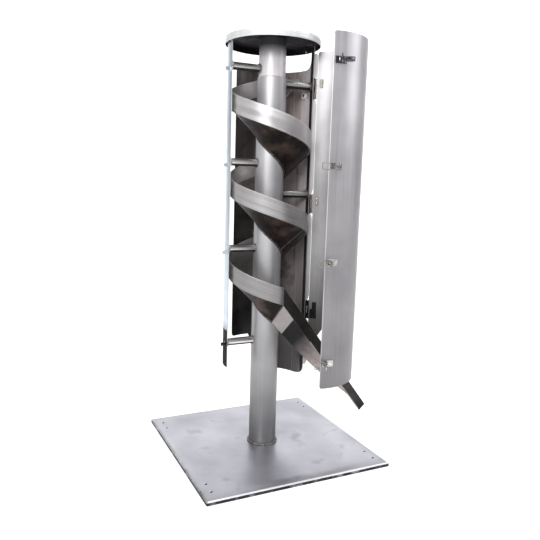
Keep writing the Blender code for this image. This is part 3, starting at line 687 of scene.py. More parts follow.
@dataclass
class FootPlate:
    """The square plate that the stand rests on."""

    ground_edge: float = 0.0050
    edge_drop: float = 0.0026
    foot_ease: float = 0.0010
    anchor_x: float = 0.270
    anchor_y: tuple[float, float] = (0.206, 0.252)
    anchor_radius: float = 0.0040
    sink: float = 0.0012
    corner_share: float = 0.994
    facing_up: float = 0.98
    facing_aside: float = 0.2

    def build(self) -> None:
        """Build the plate, its ground edges and its anchor holes."""
        low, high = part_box("base_plate")
        side, top, near = high.x, high.z, self.corner_share
        rings = ((side - self.foot_ease, low.z), (side, low.z + self.foot_ease), (side, top - self.edge_drop),
                 (side - self.ground_edge, top))
        corners = ((1.0, -near), (1.0, near), (near, 1.0), (-near, 1.0),
                   (-1.0, near), (-1.0, -near), (-near, -1.0), (near, -1.0))
        draft = Draft()
        draft.loft([[Vector((x * reach, y * reach, height)) for x, y in corners] for reach, height in rings])
        self._drill(draft, self._anchor_cutter(top))
        # Faces are sorted by which way they face: the top, the sloped ground edge in its painted highlight, the part
        # of it facing -X in painted shade, and the upright sides in near-black painted shade.
        for face in draft.mesh.faces:
            face.normal_update()
            face.smooth = False
            up = face.normal.z
            face.material_index = 0 if up > self.facing_up else 1 if up > self.facing_aside else 2
            if face.material_index == 1 and face.normal.x < -self.facing_aside:
                face.material_index = 3
        draft.show("foot_plate", "stand", "brushed_sheet", (PLATE_TOP, PLATE_RIM_HIGHLIGHT, PLATE_SIDE_SHADE, PLATE_RIM_SHADED),
                   ("base_plate",))

    def _anchor_cutter(self, top: float) -> Draft:
        """Return the eight anchor holes as solids with a countersink.

        Args:
            top: the height of the plate's top.

        Returns:
            The draft of the eight solids.
        """
        cutter = Draft()
        for x in (-self.anchor_x, self.anchor_x):
            for side in (-1.0, 1.0):
                for y in self.anchor_y:
                    rings = ((self.anchor_radius, -0.005), (self.anchor_radius, top - self.sink),
                             (self.anchor_radius + self.sink * 2.0, top + self.sink))
                    cutter.rod(rings, 24, Matrix.Translation((x, side * y, 0.0)))
        return cutter

    def _drill(self, draft: Draft, cutter: Draft) -> None:
        """Cut one draft's solids out of another.

        Args:
            draft: the draft to cut, changed in place.
            cutter: the draft that cuts, used up.
        """
        items = []
        for source in (draft, cutter):
            data = bpy.data.meshes.new("work")
            source.mesh.to_mesh(data)
            source.mesh.free()
            items.append(bpy.data.objects.new("work", data))
            bpy.context.scene.collection.objects.link(items[-1])
        cut = items[0].modifiers.new("drill", "BOOLEAN")
        cut.operation, cut.solver, cut.object = "DIFFERENCE", "EXACT", items[1]
        bpy.context.view_layer.update()
        drilled = bpy.data.meshes.new_from_object(items[0].evaluated_get(bpy.context.evaluated_depsgraph_get()))
        draft.mesh = bmesh.new()
        draft.mesh.from_mesh(drilled)
        bpy.data.meshes.remove(drilled)
        for item in items:
            data = item.data
            bpy.data.objects.remove(item)
            bpy.data.meshes.remove(data)


@dataclass
class Column:
    """The tube, the spigot in its top and their welds."""

    radius: float = 0.04445
    wall: float = 0.003
    lead_in: float = 0.0008
    weld_gap: float = 0.0003
    spigot_radius: float = 0.0411
    foot_bead: float = 0.0032
    joint_bead: float = 0.0017

    def build(self) -> None:
        """Build the tube, the spigot and the two weld rings."""
        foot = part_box("base_plate")[1].z + self.weld_gap
        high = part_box("column")[1].z
        bore = self.radius - self.wall
        tube = Draft()
        levels = [(self.radius, level) for level in spread(foot, high - self.lead_in, 0.05)]
        tube.lathe([(bore, foot)] + levels + [(self.radius - self.lead_in, high), (bore, high)], 96)
        tube.show("column_tube", "stand", "brushed_sheet", (TUBE,), ("column",))
        low, top = (corner.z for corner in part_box("top_spigot"))
        spigot = Draft()
        inside = self.spigot_radius - self.wall
        spigot.lathe([(inside, low)] + [(self.spigot_radius, z) for z in spread(low, top, 0.03)]
                     + [(inside, top)], 80)
        spigot.show("cap_spigot", "stand", "bright_sheet", (SPIGOT,), ("top_spigot",))
        welds = Draft()
        welds.bead(ring_path(self.radius + 0.0022, foot + 0.0026, 150), self.foot_bead, closed=True)
        welds.bead(ring_path(self.spigot_radius + 0.0012, high + 0.0004, 150), self.joint_bead, finish=1,
                   closed=True)
        welds.show("column_welds", "stand", "brushed_sheet", (WELD, BRIGHT_WELD))


@dataclass
class Cap:
    """The upside-down pan on top, with a grooved rim."""

    sheet: float = 0.0018
    groove: float = 0.0011
    spot_azimuths: tuple[float, ...] = (164.0, 180.0, -6.0, 14.0)
    spot_seat: tuple[float, float] = (0.1362, 0.0045)
    spot_size: tuple[float, float] = (0.0034, 0.0016)

    def build(self) -> None:
        """Build the pan and the weld spots that hold it on the rails."""
        low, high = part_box("top_cap")
        radius, top, foot = high.x, high.z, low.z
        inner = radius - self.sheet
        middle = (top + foot) / 2.0 - 0.001
        rings = [(0.030, top), (0.090, top), (radius - 0.0062, top), (radius - 0.0032, top - 0.0006),
                 (radius - 0.0011, top - 0.0022), (radius, top - 0.0050), (radius, middle + 0.0014),
                 (radius - self.groove, middle + 0.0006), (radius - self.groove, middle - 0.0006),
                 (radius, middle - 0.0014), (radius, foot + 0.0016), (radius - 0.0006, foot + 0.0004),
                 (inner + 0.0003, foot), (inner - 0.0002, foot + 0.0008), (inner, foot + 0.003),
                 (inner, top - 0.0065), (inner - 0.0012, top - 0.0032), (inner - 0.004, top - self.sheet),
                 (0.090, top - self.sheet), (0.030, top - self.sheet)]
        pan = Draft()
        pan.rod(rings, 160)
        for face in pan.mesh.faces:
            centre = face.calc_center_median()
            # Faces inside the pan take the near-black painted shade.
            in_pan_shade = centre.xy.length < inner + 0.0001 and centre.z < top - self.sheet * 0.9
            face.material_index = 1 if in_pan_shade else 0
        pan.show("cap_pan", "stand", "bright_sheet", (CAP_RIM, CAP_UNDER_SHADE), ("top_cap",))
        spots = Draft()
        reach, lift = self.spot_seat
        for azimuth in self.spot_azimuths:
            spots.rivet(facing_out(azimuth, reach, foot + lift), *self.spot_size)
        spots.show("cap_weld_spots", "stand", "bright_sheet", (BRIGHT_WELD,))


@dataclass
class Uprights:
    """The two rails, the rods that hold them off the column, and the boss."""

    inner: float = 0.1335
    outer: float = 0.1365
    left_span: tuple[float, float] = (163.0, 184.0)
    right_span: tuple[float, float] = (-9.5, 19.0)
    right_corner: float = 0.062
    right_corner_share: float = 0.65
    tab_edge: float = -1.0
    window_sill: float = 1.219
    window_corner: float = 0.030
    rod_radius: float = 0.0115
    column_radius: float = 0.04445
    boss_bore: float = 0.0043
    boss_azimuth: float = 12.0
    boss_height: float = 1.141
    shaded_strip: float = 9.0
    shaded_foot: float = 0.400
    lip_height: float = 0.1475
    lip_tab: float = 0.1412
    lip_sheet: float = 0.0010
    lip_root: float = 0.0010
    lip_head: float = 1.262
    lip_round: float = 0.0004
    lip_taper: float = 0.004
    hinge_heights: tuple[float, ...] = (0.453, 0.800, 1.157)
    hinge_clear: float = 0.033
    tab_gap: float = 0.0005
    seam_head: float = 1.214
    seam_bead: float = 0.0009
    saddle_gap: float = 0.0012
    saddle_bead: float = 0.0019
    bore_shade_depth: float = 0.0040

    def build(self) -> None:
        """Build both rails, the rods with their welds, and dress the boss."""
        self._rail("rail_left", self.left_span, 0.006, 0.006)
        self._rail("rail_right", self.right_span, self.right_corner, 0.002)
        self._lip()
        self._seam()
        for side, azimuth in (("left", 180.0), ("right", 0.0)):
            self._rods(side, azimuth)
        self._bore_shade()
        # The boss takes the near-white painted highlight.
        dress("rail_boss", BOSS_GLINT)

    def _rail(self, node: str, span: tuple[float, float], front: float, back: float) -> None:
        """Build one rail.

        Args:
            node: the CAD node it stands for.
            span: the angles it covers.
            front: the corner radius at the foot of its first edge.
            back: the corner radius at the foot of its last edge.
        """
        low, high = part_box(node)
        right = node == "rail_right"

        def foot(azimuth: float) -> float:
            """Return the rail's lower edge at an angle."""
            share = self.right_corner_share if right else 1.0
            return low.z + max(rounded(arc(azimuth, span[0], self.outer), front) * share,
                               rounded(arc(azimuth, span[1], self.outer), back))

        def head(azimuth: float) -> float:
            """Return the rail's upper edge at an angle, cut away at the feed window."""
            if not right or azimuth <= self.tab_edge:
                return high.z
            return self.window_sill + rounded(arc(azimuth, self.tab_edge, self.outer), self.window_corner)

        azimuths = spread(*span, 0.7)
        if right:
            azimuths = spread(span[0], self.tab_edge, 0.7) + spread(self.tab_edge + 0.06, span[1], 0.7)
        draft = Draft()
        draft.sheet((self.inner, self.outer), azimuths, foot, head, 0.0005, cap=2, sides=(0, 1, 2), rows=42)
        for face in draft.mesh.faces:
            middle = face.calc_center_median()
            near = math.degrees(math.atan2(middle.y, middle.x)) - span[0]
            strip = right and face.material_index == 1 and 0.6 < near < self.shaded_strip
            if strip or (not right and middle.z < self.shaded_foot):
                face.material_index = 3
        outside = SHELL_OUT if right else RAIL_BRIGHT
        draft.show(f"{node}_sheet", "stand", "bright_sheet", (outside, RAIL_INNER, EDGE, DARK_EDGE), (node,))

    def _lip(self) -> None:
        """Build the lip folded out along the right rail's front edge, cut back to a tab at each hinge."""
        edge = self.right_span[0]
        far = edge + math.degrees(self.lip_sheet / self.outer)
        root = self.inner + self.lip_root
        lows = [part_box("rail_right")[0].z + self.right_corner * self.right_corner_share + self.lip_taper]
        lows += [height + self.hinge_clear for height in self.hinge_heights]
        highs = [height - self.hinge_clear for height in self.hinge_heights] + [self.lip_head]
        draft = Draft()
        for low, high in zip(lows, highs):
            sections = []
            for share in spread(0.0, 1.0, 0.05):
                tip = self.lip_height - (self.lip_taper if share in (0.0, 1.0) else 0.0)
                shy, height = tip - self.lip_round, low + (high - low) * share
                outline = ((root, edge), (shy, edge), (tip, (edge + far) / 2.0), (shy, far),
                           (self.outer + 0.00005, far), (root, far))
                sections.append([polar(radius, azimuth, height) for radius, azimuth in outline])
            draft.loft(sections)
        # The tabs take the shaded edge finish: painted shade at each hinge.
        tab = ((root, edge), (self.lip_tab, edge), (self.lip_tab, far), (root, far))
        half = self.hinge_clear - self.tab_gap
        for height in self.hinge_heights:
            draft.loft([[polar(radius, azimuth, level) for radius, azimuth in tab]
                        for level in (height - half, height + half)], finish=1)
        draft.show("rail_right_lip", "stand", "bright_sheet", (EDGE, DARK_EDGE))

    def _seam(self) -> None:
        """Lay the seam between the right rail and the rear shell."""
        foot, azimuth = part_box("rail_right")[0].z + 0.004, self.right_span[1] + 0.25
        seam = Draft()
        seam.bead([polar(self.inner + 0.0012, azimuth, height) for height in spread(foot, self.seam_head, 0.02)],
                  self.seam_bead)
        seam.show("rail_right_seam", "stand", "bright_sheet", (RAIL_SEAM,))

    def _bore_shade(self) -> None:
        """Build a dark disc sunk in the boss's bore: painted shade for the depth of the hole."""
        place = Matrix.Translation(polar(self.inner - 0.0012, self.boss_azimuth, self.boss_height))
        turn = Matrix.Rotation(math.radians(self.boss_azimuth), 4, "Z") @ Matrix.Rotation(math.pi / 2.0, 4, "Y")
        bore_shade = Draft()
        bore_shade.rod(((self.boss_bore, 0.0), (self.boss_bore, -self.bore_shade_depth)), 24, place @ turn)
        bore_shade.show("rail_boss_hole", "stand", "bright_sheet", (DARK_EDGE,))

    def _rods(self, side: str, azimuth: float) -> None:
        """Build one side's rods and their weld rings.

        Args:
            side: the side in the CAD nodes' names.
            azimuth: the angle the rods point to.
        """
        nodes = sorted(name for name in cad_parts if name.startswith(f"standoff_{side}_"))
        rods, welds = Draft(), Draft()
        turn = Matrix.Rotation(math.radians(azimuth), 4, "Z") @ Matrix.Rotation(math.pi / 2.0, 4, "Y")
        middles = [sum(corner.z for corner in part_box(node)) / 2.0 for node in nodes]
        for middle in middles:
            lift = Matrix.Translation((0.0, 0.0, middle)) @ turn
            rods.loft([[lift @ point for point in self._saddle(share, self.rod_radius)]
                       for share in (0.0, 0.02, 0.5, 0.98, 1.0)])
            for share in (0.0, 1.0):
                ring = self._saddle(share, self.rod_radius + self.saddle_gap, 64)
                welds.bead([lift @ point for point in ring], self.saddle_bead, closed=True)
        # The lower faces of each rod take the dark rod finish: painted shade on their undersides.
        for face in rods.mesh.faces:
            drop = min((face.calc_center_median().z - middle for middle in middles), key=abs)
            face.material_index = 1 if drop < -self.rod_radius * 0.45 else 0
        rods.show(f"standoff_rods_{side}", "stand", "bright_sheet", (ROD, ROD_SHADE), nodes)
        welds.show(f"standoff_welds_{side}", "stand", "bright_sheet", (WELD,))

    def _saddle(self, share: float, radius: float, count: int = 40) -> list[Vector]:
        """Return a ring round a rod that follows the column at one end and the rail at the other.

        Args:
            share: how far along the rod, from the column to the rail.
            radius: the ring's radius.
            count: how many points it has.

        Returns:
            The ring's points, with the rod along Z.
        """
        ring = []
        for index in range(count):
            turn = 2.0 * math.pi * index / count
            point = Vector((radius * math.cos(turn), radius * math.sin(turn), 0.0))
            near = math.sqrt((self.column_radius + 0.0004) ** 2 - point.y ** 2)
            far = math.sqrt((self.inner - 0.0006) ** 2 - point.y ** 2)
            point.z = near + (far - near) * share
            ring.append(point)
        return ring


@dataclass
class RearShell:
    """The curved sheet behind the spiral."""

    inner: float = 0.1368
    outer: float = 0.1383
    span: tuple[float, float] = (14.5, 120.0)
    step_azimuth: float = 78.0
    foot: float = 0.220
    raised_foot: float = 0.342
    head: float = 1.219
    step_corner: float = 0.030
    step_run: float = 12.0
    foot_corner: float = 0.014
    head_corner: float = 0.010
    rivet_azimuth: float = 16.8
    rivet_count: int = 9
    rivet_margin: float = 0.05
    rivet_size: tuple[float, float] = (0.0042, 0.0018)

    def low(self, azimuth: float) -> float:
        """Return its lower edge: deep at the right, stepped up behind the column.

        Args:
            azimuth: the angle in degrees.

        Returns:
            The height of the lower edge.
        """
        if azimuth <= self.step_azimuth:
            return self.foot + rounded(arc(azimuth, self.step_azimuth, self.outer), self.step_corner)
        rise = min(1.0, (azimuth - self.step_azimuth) / self.step_run)
        start = self.foot + self.step_corner
        base = start + (self.raised_foot - start) * rise
        return base + rounded(arc(azimuth, self.span[1], self.outer), self.foot_corner)

    def high(self, azimuth: float) -> float:
        """Return its upper edge, the feed window's sill."""
        return self.head - rounded(arc(azimuth, self.span[1], self.outer), self.head_corner)

    def build(self) -> None:
        """Build the sheet and its rivets."""
        draft = Draft()
        azimuths = spread(self.span[0], 34.0, 0.9) + spread(34.0, 66.0, 2.0)[1:] + spread(66.0, 94.0, 0.9)[1:]
        azimuths += spread(94.0, 112.0, 2.0)[1:] + spread(112.0, self.span[1], 0.6)[1:]
        draft.sheet((self.inner, self.outer), azimuths, self.low, self.high, 0.0003, cap=2, sides=(1, 0, 2),
                    rows=10)
        draft.show("rear_shell_sheet", "stand", "brushed_sheet", (SHELL_IN, SHELL_OUT, EDGE), ("rear_shell",))
        rivets = Draft()
        for height in spread(self.foot + self.rivet_margin, self.head - self.rivet_margin,
                             (self.head - self.foot) / self.rivet_count):
            rivets.rivet(facing_out(self.rivet_azimuth, self.outer, height), *self.rivet_size)
        rivets.show("rear_shell_rivets", "stand", "brushed_sheet", (RIVET,))


# ---------------------------------------------------------------- the spiral and its chute

@dataclass
class Spiral:
    """The banked flight round the column and the guard along its outer edge."""

    pitch: float = 0.255
    inner: float = 0.04475
    outer: float = 0.1230
    sheet: float = 0.0027
    bank_drop: float = 0.070
    height_at_left: float = 1.072
    guard_sheet: float = 0.0020
    guard_height: float = 0.052
    breaks: tuple[float, ...] = (19.0, 343.0, 667.0, 990.0)
    slit: float = 0.25
    step: float = 2.7
    ease: float = 0.0006
    weld_step: float = 1.6
    top_bead: float = 0.0026
    under_bead: float = 0.0020
    seam_bead: float = 0.0018

    def edge(self, turn: float) -> float:
        """Return the height of the flight's outer edge at an angle along the spiral."""
        return self.height_at_left - self.pitch * (turn - 180.0) / 360.0

    def build(self) -> None:
        """Build the three turns, their guards and their welds."""
        welds = Draft()
        for name, start, end in zip(("upper", "middle", "lower"), self.breaks, self.breaks[1:]):
            turns = spread(start + self.slit, end - self.slit, self.step)
            self._flight(name, turns)
            self._guard(name, turns)
            fine = spread(start + self.slit, end - self.slit, self.weld_step)
            for lift, bead, finish in ((0.0012, self.top_bead, 0), (-0.0036, self.under_bead, 1)):
                root = [polar(self.inner + 0.0006, turn, self.edge(turn) - self.bank_drop + lift) for turn in fine]
                welds.bead(root, bead, finish)
        for turn in self.breaks[1:-1]:
            self._seam(welds, turn)
        welds.show("spiral_welds", "stand", "worn_sheet", (WELD, SHADED_WELD))

    def _seam(self, welds: Draft, turn: float) -> None:
        """Lay the bead that joins two turns, along their undersides.

        Args:
            welds: the draft that takes the bead.
            turn: the angle along the spiral.
        """
        top = self.edge(turn)
        points = []
        for share in spread(0.03, 0.97, 0.03):
            radius = self.inner + (self.outer - self.inner) * share
            points.append(polar(radius, turn, top - self.bank_drop * (1.0 - share) - self.sheet - 0.0006))
        welds.bead(points, self.seam_bead, finish=1)

    def _flight(self, name: str, turns: list[float]) -> None:
        """Build one turn of the flight: its upper face and edge in their finishes, its underside in a near-black
        painted shade.

        Args:
            name: which turn it is.
            turns: the angles of its sections.
        """
        draft = Draft()
        ease = self.ease
        sections = []
        for turn in turns:
            top = self.edge(turn)
            low = top - self.bank_drop
            upper, under = [], []
            for share in (0.0, 0.25, 0.5, 0.75):
                radius = self.inner + (self.outer - self.inner) * share
                level = low + self.bank_drop * share
                upper.append(polar(radius, turn, level))
                under.append(polar(radius, turn, level - self.sheet))
            rim = [polar(self.outer - ease, turn, top - ease * 0.8), polar(self.outer, turn, top - ease * 1.6),
                   polar(self.outer, turn, top - self.sheet + ease * 0.3),
                   polar(self.outer - ease, turn, top - self.sheet - ease * 0.3)]
            sections.append(upper + rim + under[::-1])
        # The underside faces take the near-black painted shade.
        marks = [0, 0, 0, 0, 2, 2, 2, 1, 1, 1, 1, 1]
        draft.loft(sections, pick=lambda index: marks[index], cap=2)
        draft.show(f"flight_{name}_sheet", "stand", "worn_sheet", (FLIGHT_TOP, FLIGHT_UNDER_SHADE, EDGE),
                   (f"flight_{name}",))

    def _guard(self, name: str, turns: list[float]) -> None:
        """Build one turn of the guard strip.

        Args:
            name: which turn it is.
            turns: the angles of its sections.
        """
        draft = Draft()
        near = self.outer + 0.0003
        sections = []
        for number, turn in enumerate(turns):
            growth = min(1.0, 0.15 + 0.85 * (turn - self.breaks[0]) / 55.0)
            foot = self.edge(turn) - self.sheet
            head = foot + self.sheet + self.guard_height * growth
            shrink = 0.0004 if number in (0, len(turns) - 1) else 0.0
            outline = eased_rectangle((near + shrink, foot + shrink),
                                      (near + self.guard_sheet - shrink, head - shrink), 0.0005)
            sections.append([polar(radius, turn, height) for radius, height in outline])
        # The strip's foot takes the near-black underside finish: painted shade.
        marks = [2, 2, 0, 1, 1, 1, 0, 2]
        draft.loft(sections, pick=lambda index: marks[index], cap=1)
        draft.show(f"guard_{name}_strip", "stand", "bright_sheet", (GUARD, EDGE, FLIGHT_UNDER_SHADE),
                   (f"guard_{name}",))


@dataclass
class Chute:
    """The straight discharge chute that the last turn runs out into."""

    spiral: Spiral
    run: float = 0.298
    fall: float = 0.378
    inner_fall: float = 0.340
    inner_rise: float = 0.064
    inner_y: float = -0.0472
    floor_end: float = 0.84
    tip_wall: float = 0.027
    inner_wall: float = 0.016
    patch_end: float = 0.125
    lit_edge_from: float = 0.33
    lit_edge_size: float = 0.0017
    seam_bead: float = 0.0023

    def _x(self, along: float) -> float:
        """Return how far out a share of the run lies."""
        start = math.radians(self.spiral.slit) * self.spiral.outer * 2.0
        return start + (self.run - start) * along

    def build(self) -> None:
        """Build the floor, the outer wall and the seam at the spiral."""
        self._floor()
        self._wall()
        seam = Draft()
        spiral = self.spiral
        top = spiral.edge(spiral.breaks[-1])
        points = []
        for share in spread(0.0, 1.0, 0.03):
            y = -(spiral.inner + (spiral.outer - spiral.inner) * share)
            points.append(Vector((0.0, y, top - spiral.bank_drop * (1.0 - share) - spiral.sheet - 0.0004)))
        seam.bead(points, self.seam_bead)
        seam.show("chute_seam", "stand", "worn_sheet", (SHADED_WELD,))

    def _floor(self) -> None:
        """Build the floor, banked like the flight at its start and level at its end."""
        spiral = self.spiral
        top = spiral.edge(spiral.breaks[-1])
        draft = Draft()
        wall = self.inner_y + spiral.guard_sheet
        shares = spread(0.0, self.patch_end, 0.02) + spread(self.patch_end, self.floor_end, 0.02)[1:]
        sections = []
        for along in shares:
            outer = top - self.fall * along
            inner = top - spiral.bank_drop - self.inner_fall * along + self.inner_rise * along ** 2
            x = self._x(along)
            under, upper = [], []
            for share in (0.0, 0.33, 0.66):
                y = -spiral.outer + (wall + spiral.outer) * share
                level = outer + (inner - outer) * share
                under.append(Vector((x, y, level - spiral.sheet)))
                upper.append(Vector((x, y, level)))
            lip = [Vector((x, wall, inner - spiral.sheet)), Vector((x, wall, inner + self.inner_wall)),
                   Vector((x, self.inner_y, inner + self.inner_wall)), Vector((x, self.inner_y, inner))]
            sections.append(under + lip + upper[::-1])
        # The underside near the spiral keeps the plain patch finish; beyond it the underside takes the finish
        # darkened by painted shade towards the spiral, and the inner lip's outer face the near-black painted shade.
        marks = [1, 1, 1, 2, 4, 0, 0, 0, 0, 4]
        draft.loft(sections, pick=lambda index: marks[index], cap=4)
        patch_x = self._x(self.patch_end)
        for face in draft.mesh.faces:
            if face.material_index == 1 and face.calc_center_median().x < patch_x:
                face.material_index = 3
        draft.show("chute_floor_sheet", "stand", "worn_sheet",
                   (FLIGHT_TOP, CHUTE_UNDER, CHUTE_SHADE, CHUTE_PATCH, EDGE), ("chute_floor",))

    def _wall(self) -> None:
        """Build the outer wall, upright at the spiral and square to its slope at the tip."""
        spiral = self.spiral
        slope = math.hypot(self.run, self.fall)
        draft = Draft()
        sections = []
        far, near = -spiral.outer - 0.0003 - spiral.guard_sheet, -spiral.outer - 0.0003
        for along in spread(0.0, 1.0, 0.02):
            foot = spiral.edge(spiral.breaks[-1]) - self.fall * along - spiral.sheet
            over = self.tip_wall * along * self.fall / slope
            rise = spiral.guard_height * (1.0 - along) + self.tip_wall * along * self.run / slope
            head = spiral.sheet + rise
            outline = eased_rectangle((far, 0.0), (near, head), 0.0005)
            sections.append([Vector((self._x(along) + over * height / head, y, foot + height))
                             for y, height in outline])
        # Both faces of the wall take the near-black painted shade, its foot the floor's underside finish.
        marks = [2, 1, 0, 1, 1, 1, 0, 2]
        draft.loft(sections, pick=lambda index: marks[index], cap=1)
        draft.show("chute_wall_sheet", "stand", "worn_sheet", (CHUTE_SHADE, EDGE, CHUTE_UNDER),
                   ("chute_outer_wall",))
        # A thin wire in the bright edge finish along the wall's lower edge: a painted highlight for its lit edge.
        lit = Draft()
        points = [Vector((self._x(along), far - 0.0002, spiral.edge(spiral.breaks[-1]) - self.fall * along - 0.0012))
                  for along in spread(self.lit_edge_from, 0.98, 0.02)]
        lit.wire(points, self.lit_edge_size, 8)
        lit.show("chute_edge_highlight", "stand", "worn_sheet", (EDGE,))


# ---------------------------------------------------------------- the door and its fittings

@dataclass
class Door:
    """The half-round door, drawn shut and then swung open on its hinge line."""

    inner: float = 0.1355
    outer: float = 0.1373
    span: tuple[float, float] = (185.0, 349.8)
    foot: float = 0.281
    head: float = 1.267
    notch_span: tuple[float, float] = (288.0, 345.0)
    notch_top: float = 0.494
    notch_slope_start: float = 303.0
    notch_low_end: float = 0.335
    hinge_azimuth: float = 350.2
    hinge_radius: float = 0.1465
    open_angle: float = 71.5
    hem: float = 0.0013
    notch_corner: float = 0.012
    foot_corner: float = 0.006
    head_corner: float = 0.008

    @property
    def hinge(self) -> Vector:
        """Return the foot of the hinge line."""
        return polar(self.hinge_radius, self.hinge_azimuth, 0.0)

    @property
    def swing(self) -> Matrix:
        """Return the move from the shut door to the open one."""
        turn = Matrix.Rotation(math.radians(self.open_angle), 4, "Z")
        return Matrix.Translation(self.hinge) @ turn @ Matrix.Translation(-self.hinge)

    def low(self, azimuth: float) -> float:
        """Return the door's lower edge, with the notch that clears the chute.

        Args:
            azimuth: the angle in degrees.

        Returns:
            The height of the lower edge.
        """
        start, end = self.notch_span
        if start < azimuth < end:
            near = min(arc(azimuth, edge, self.outer) for edge in self.notch_span)
            fall = max(0.0, (azimuth - self.notch_slope_start) / (end - self.notch_slope_start))
            return self.notch_top - (self.notch_top - self.notch_low_end) * fall - rounded(near, self.notch_corner)
        near = min(arc(azimuth, edge, self.outer) for edge in self.span)
        return self.foot + rounded(near, self.foot_corner)

    def high(self, azimuth: float) -> float:
        """Return the door's upper edge, with slightly rounded corners."""
        near = min(arc(azimuth, edge, self.outer) for edge in self.span)
        return self.head - rounded(near, self.head_corner)

    def build(self) -> None:
        """Build the sheet and the hem along its free edge."""
        start, end = self.notch_span
        azimuths = spread(self.span[0], self.span[0] + 4.0, 0.5) + spread(self.span[0] + 4.0, start, 2.0)[1:]
        azimuths += spread(start + 0.05, start + 5.5, 0.6) + spread(start + 5.5, end - 5.5, 2.0)[1:]
        azimuths += spread(end - 5.5, end - 0.05, 0.6)[1:] + spread(end, self.span[1], 0.6)
        draft = Draft()
        draft.sheet((self.inner, self.outer), azimuths, self.low, self.high, 0.0003, cap=2, sides=(0, 1, 2),
                    rows=14)
        middle = (self.inner + self.outer) / 2.0
        azimuth = self.span[0] + math.degrees(self.hem / middle) * 0.6
        hem = [polar(middle, azimuth, height) for height in spread(self.foot + 0.008, self.head - 0.010, 0.03)]
        draft.wire(hem, self.hem, 10, finish=2)
        draft.show("door_sheet", "door", "brushed_sheet", (DOOR_OUT, DOOR_IN, EDGE), ("door",), self.swing)


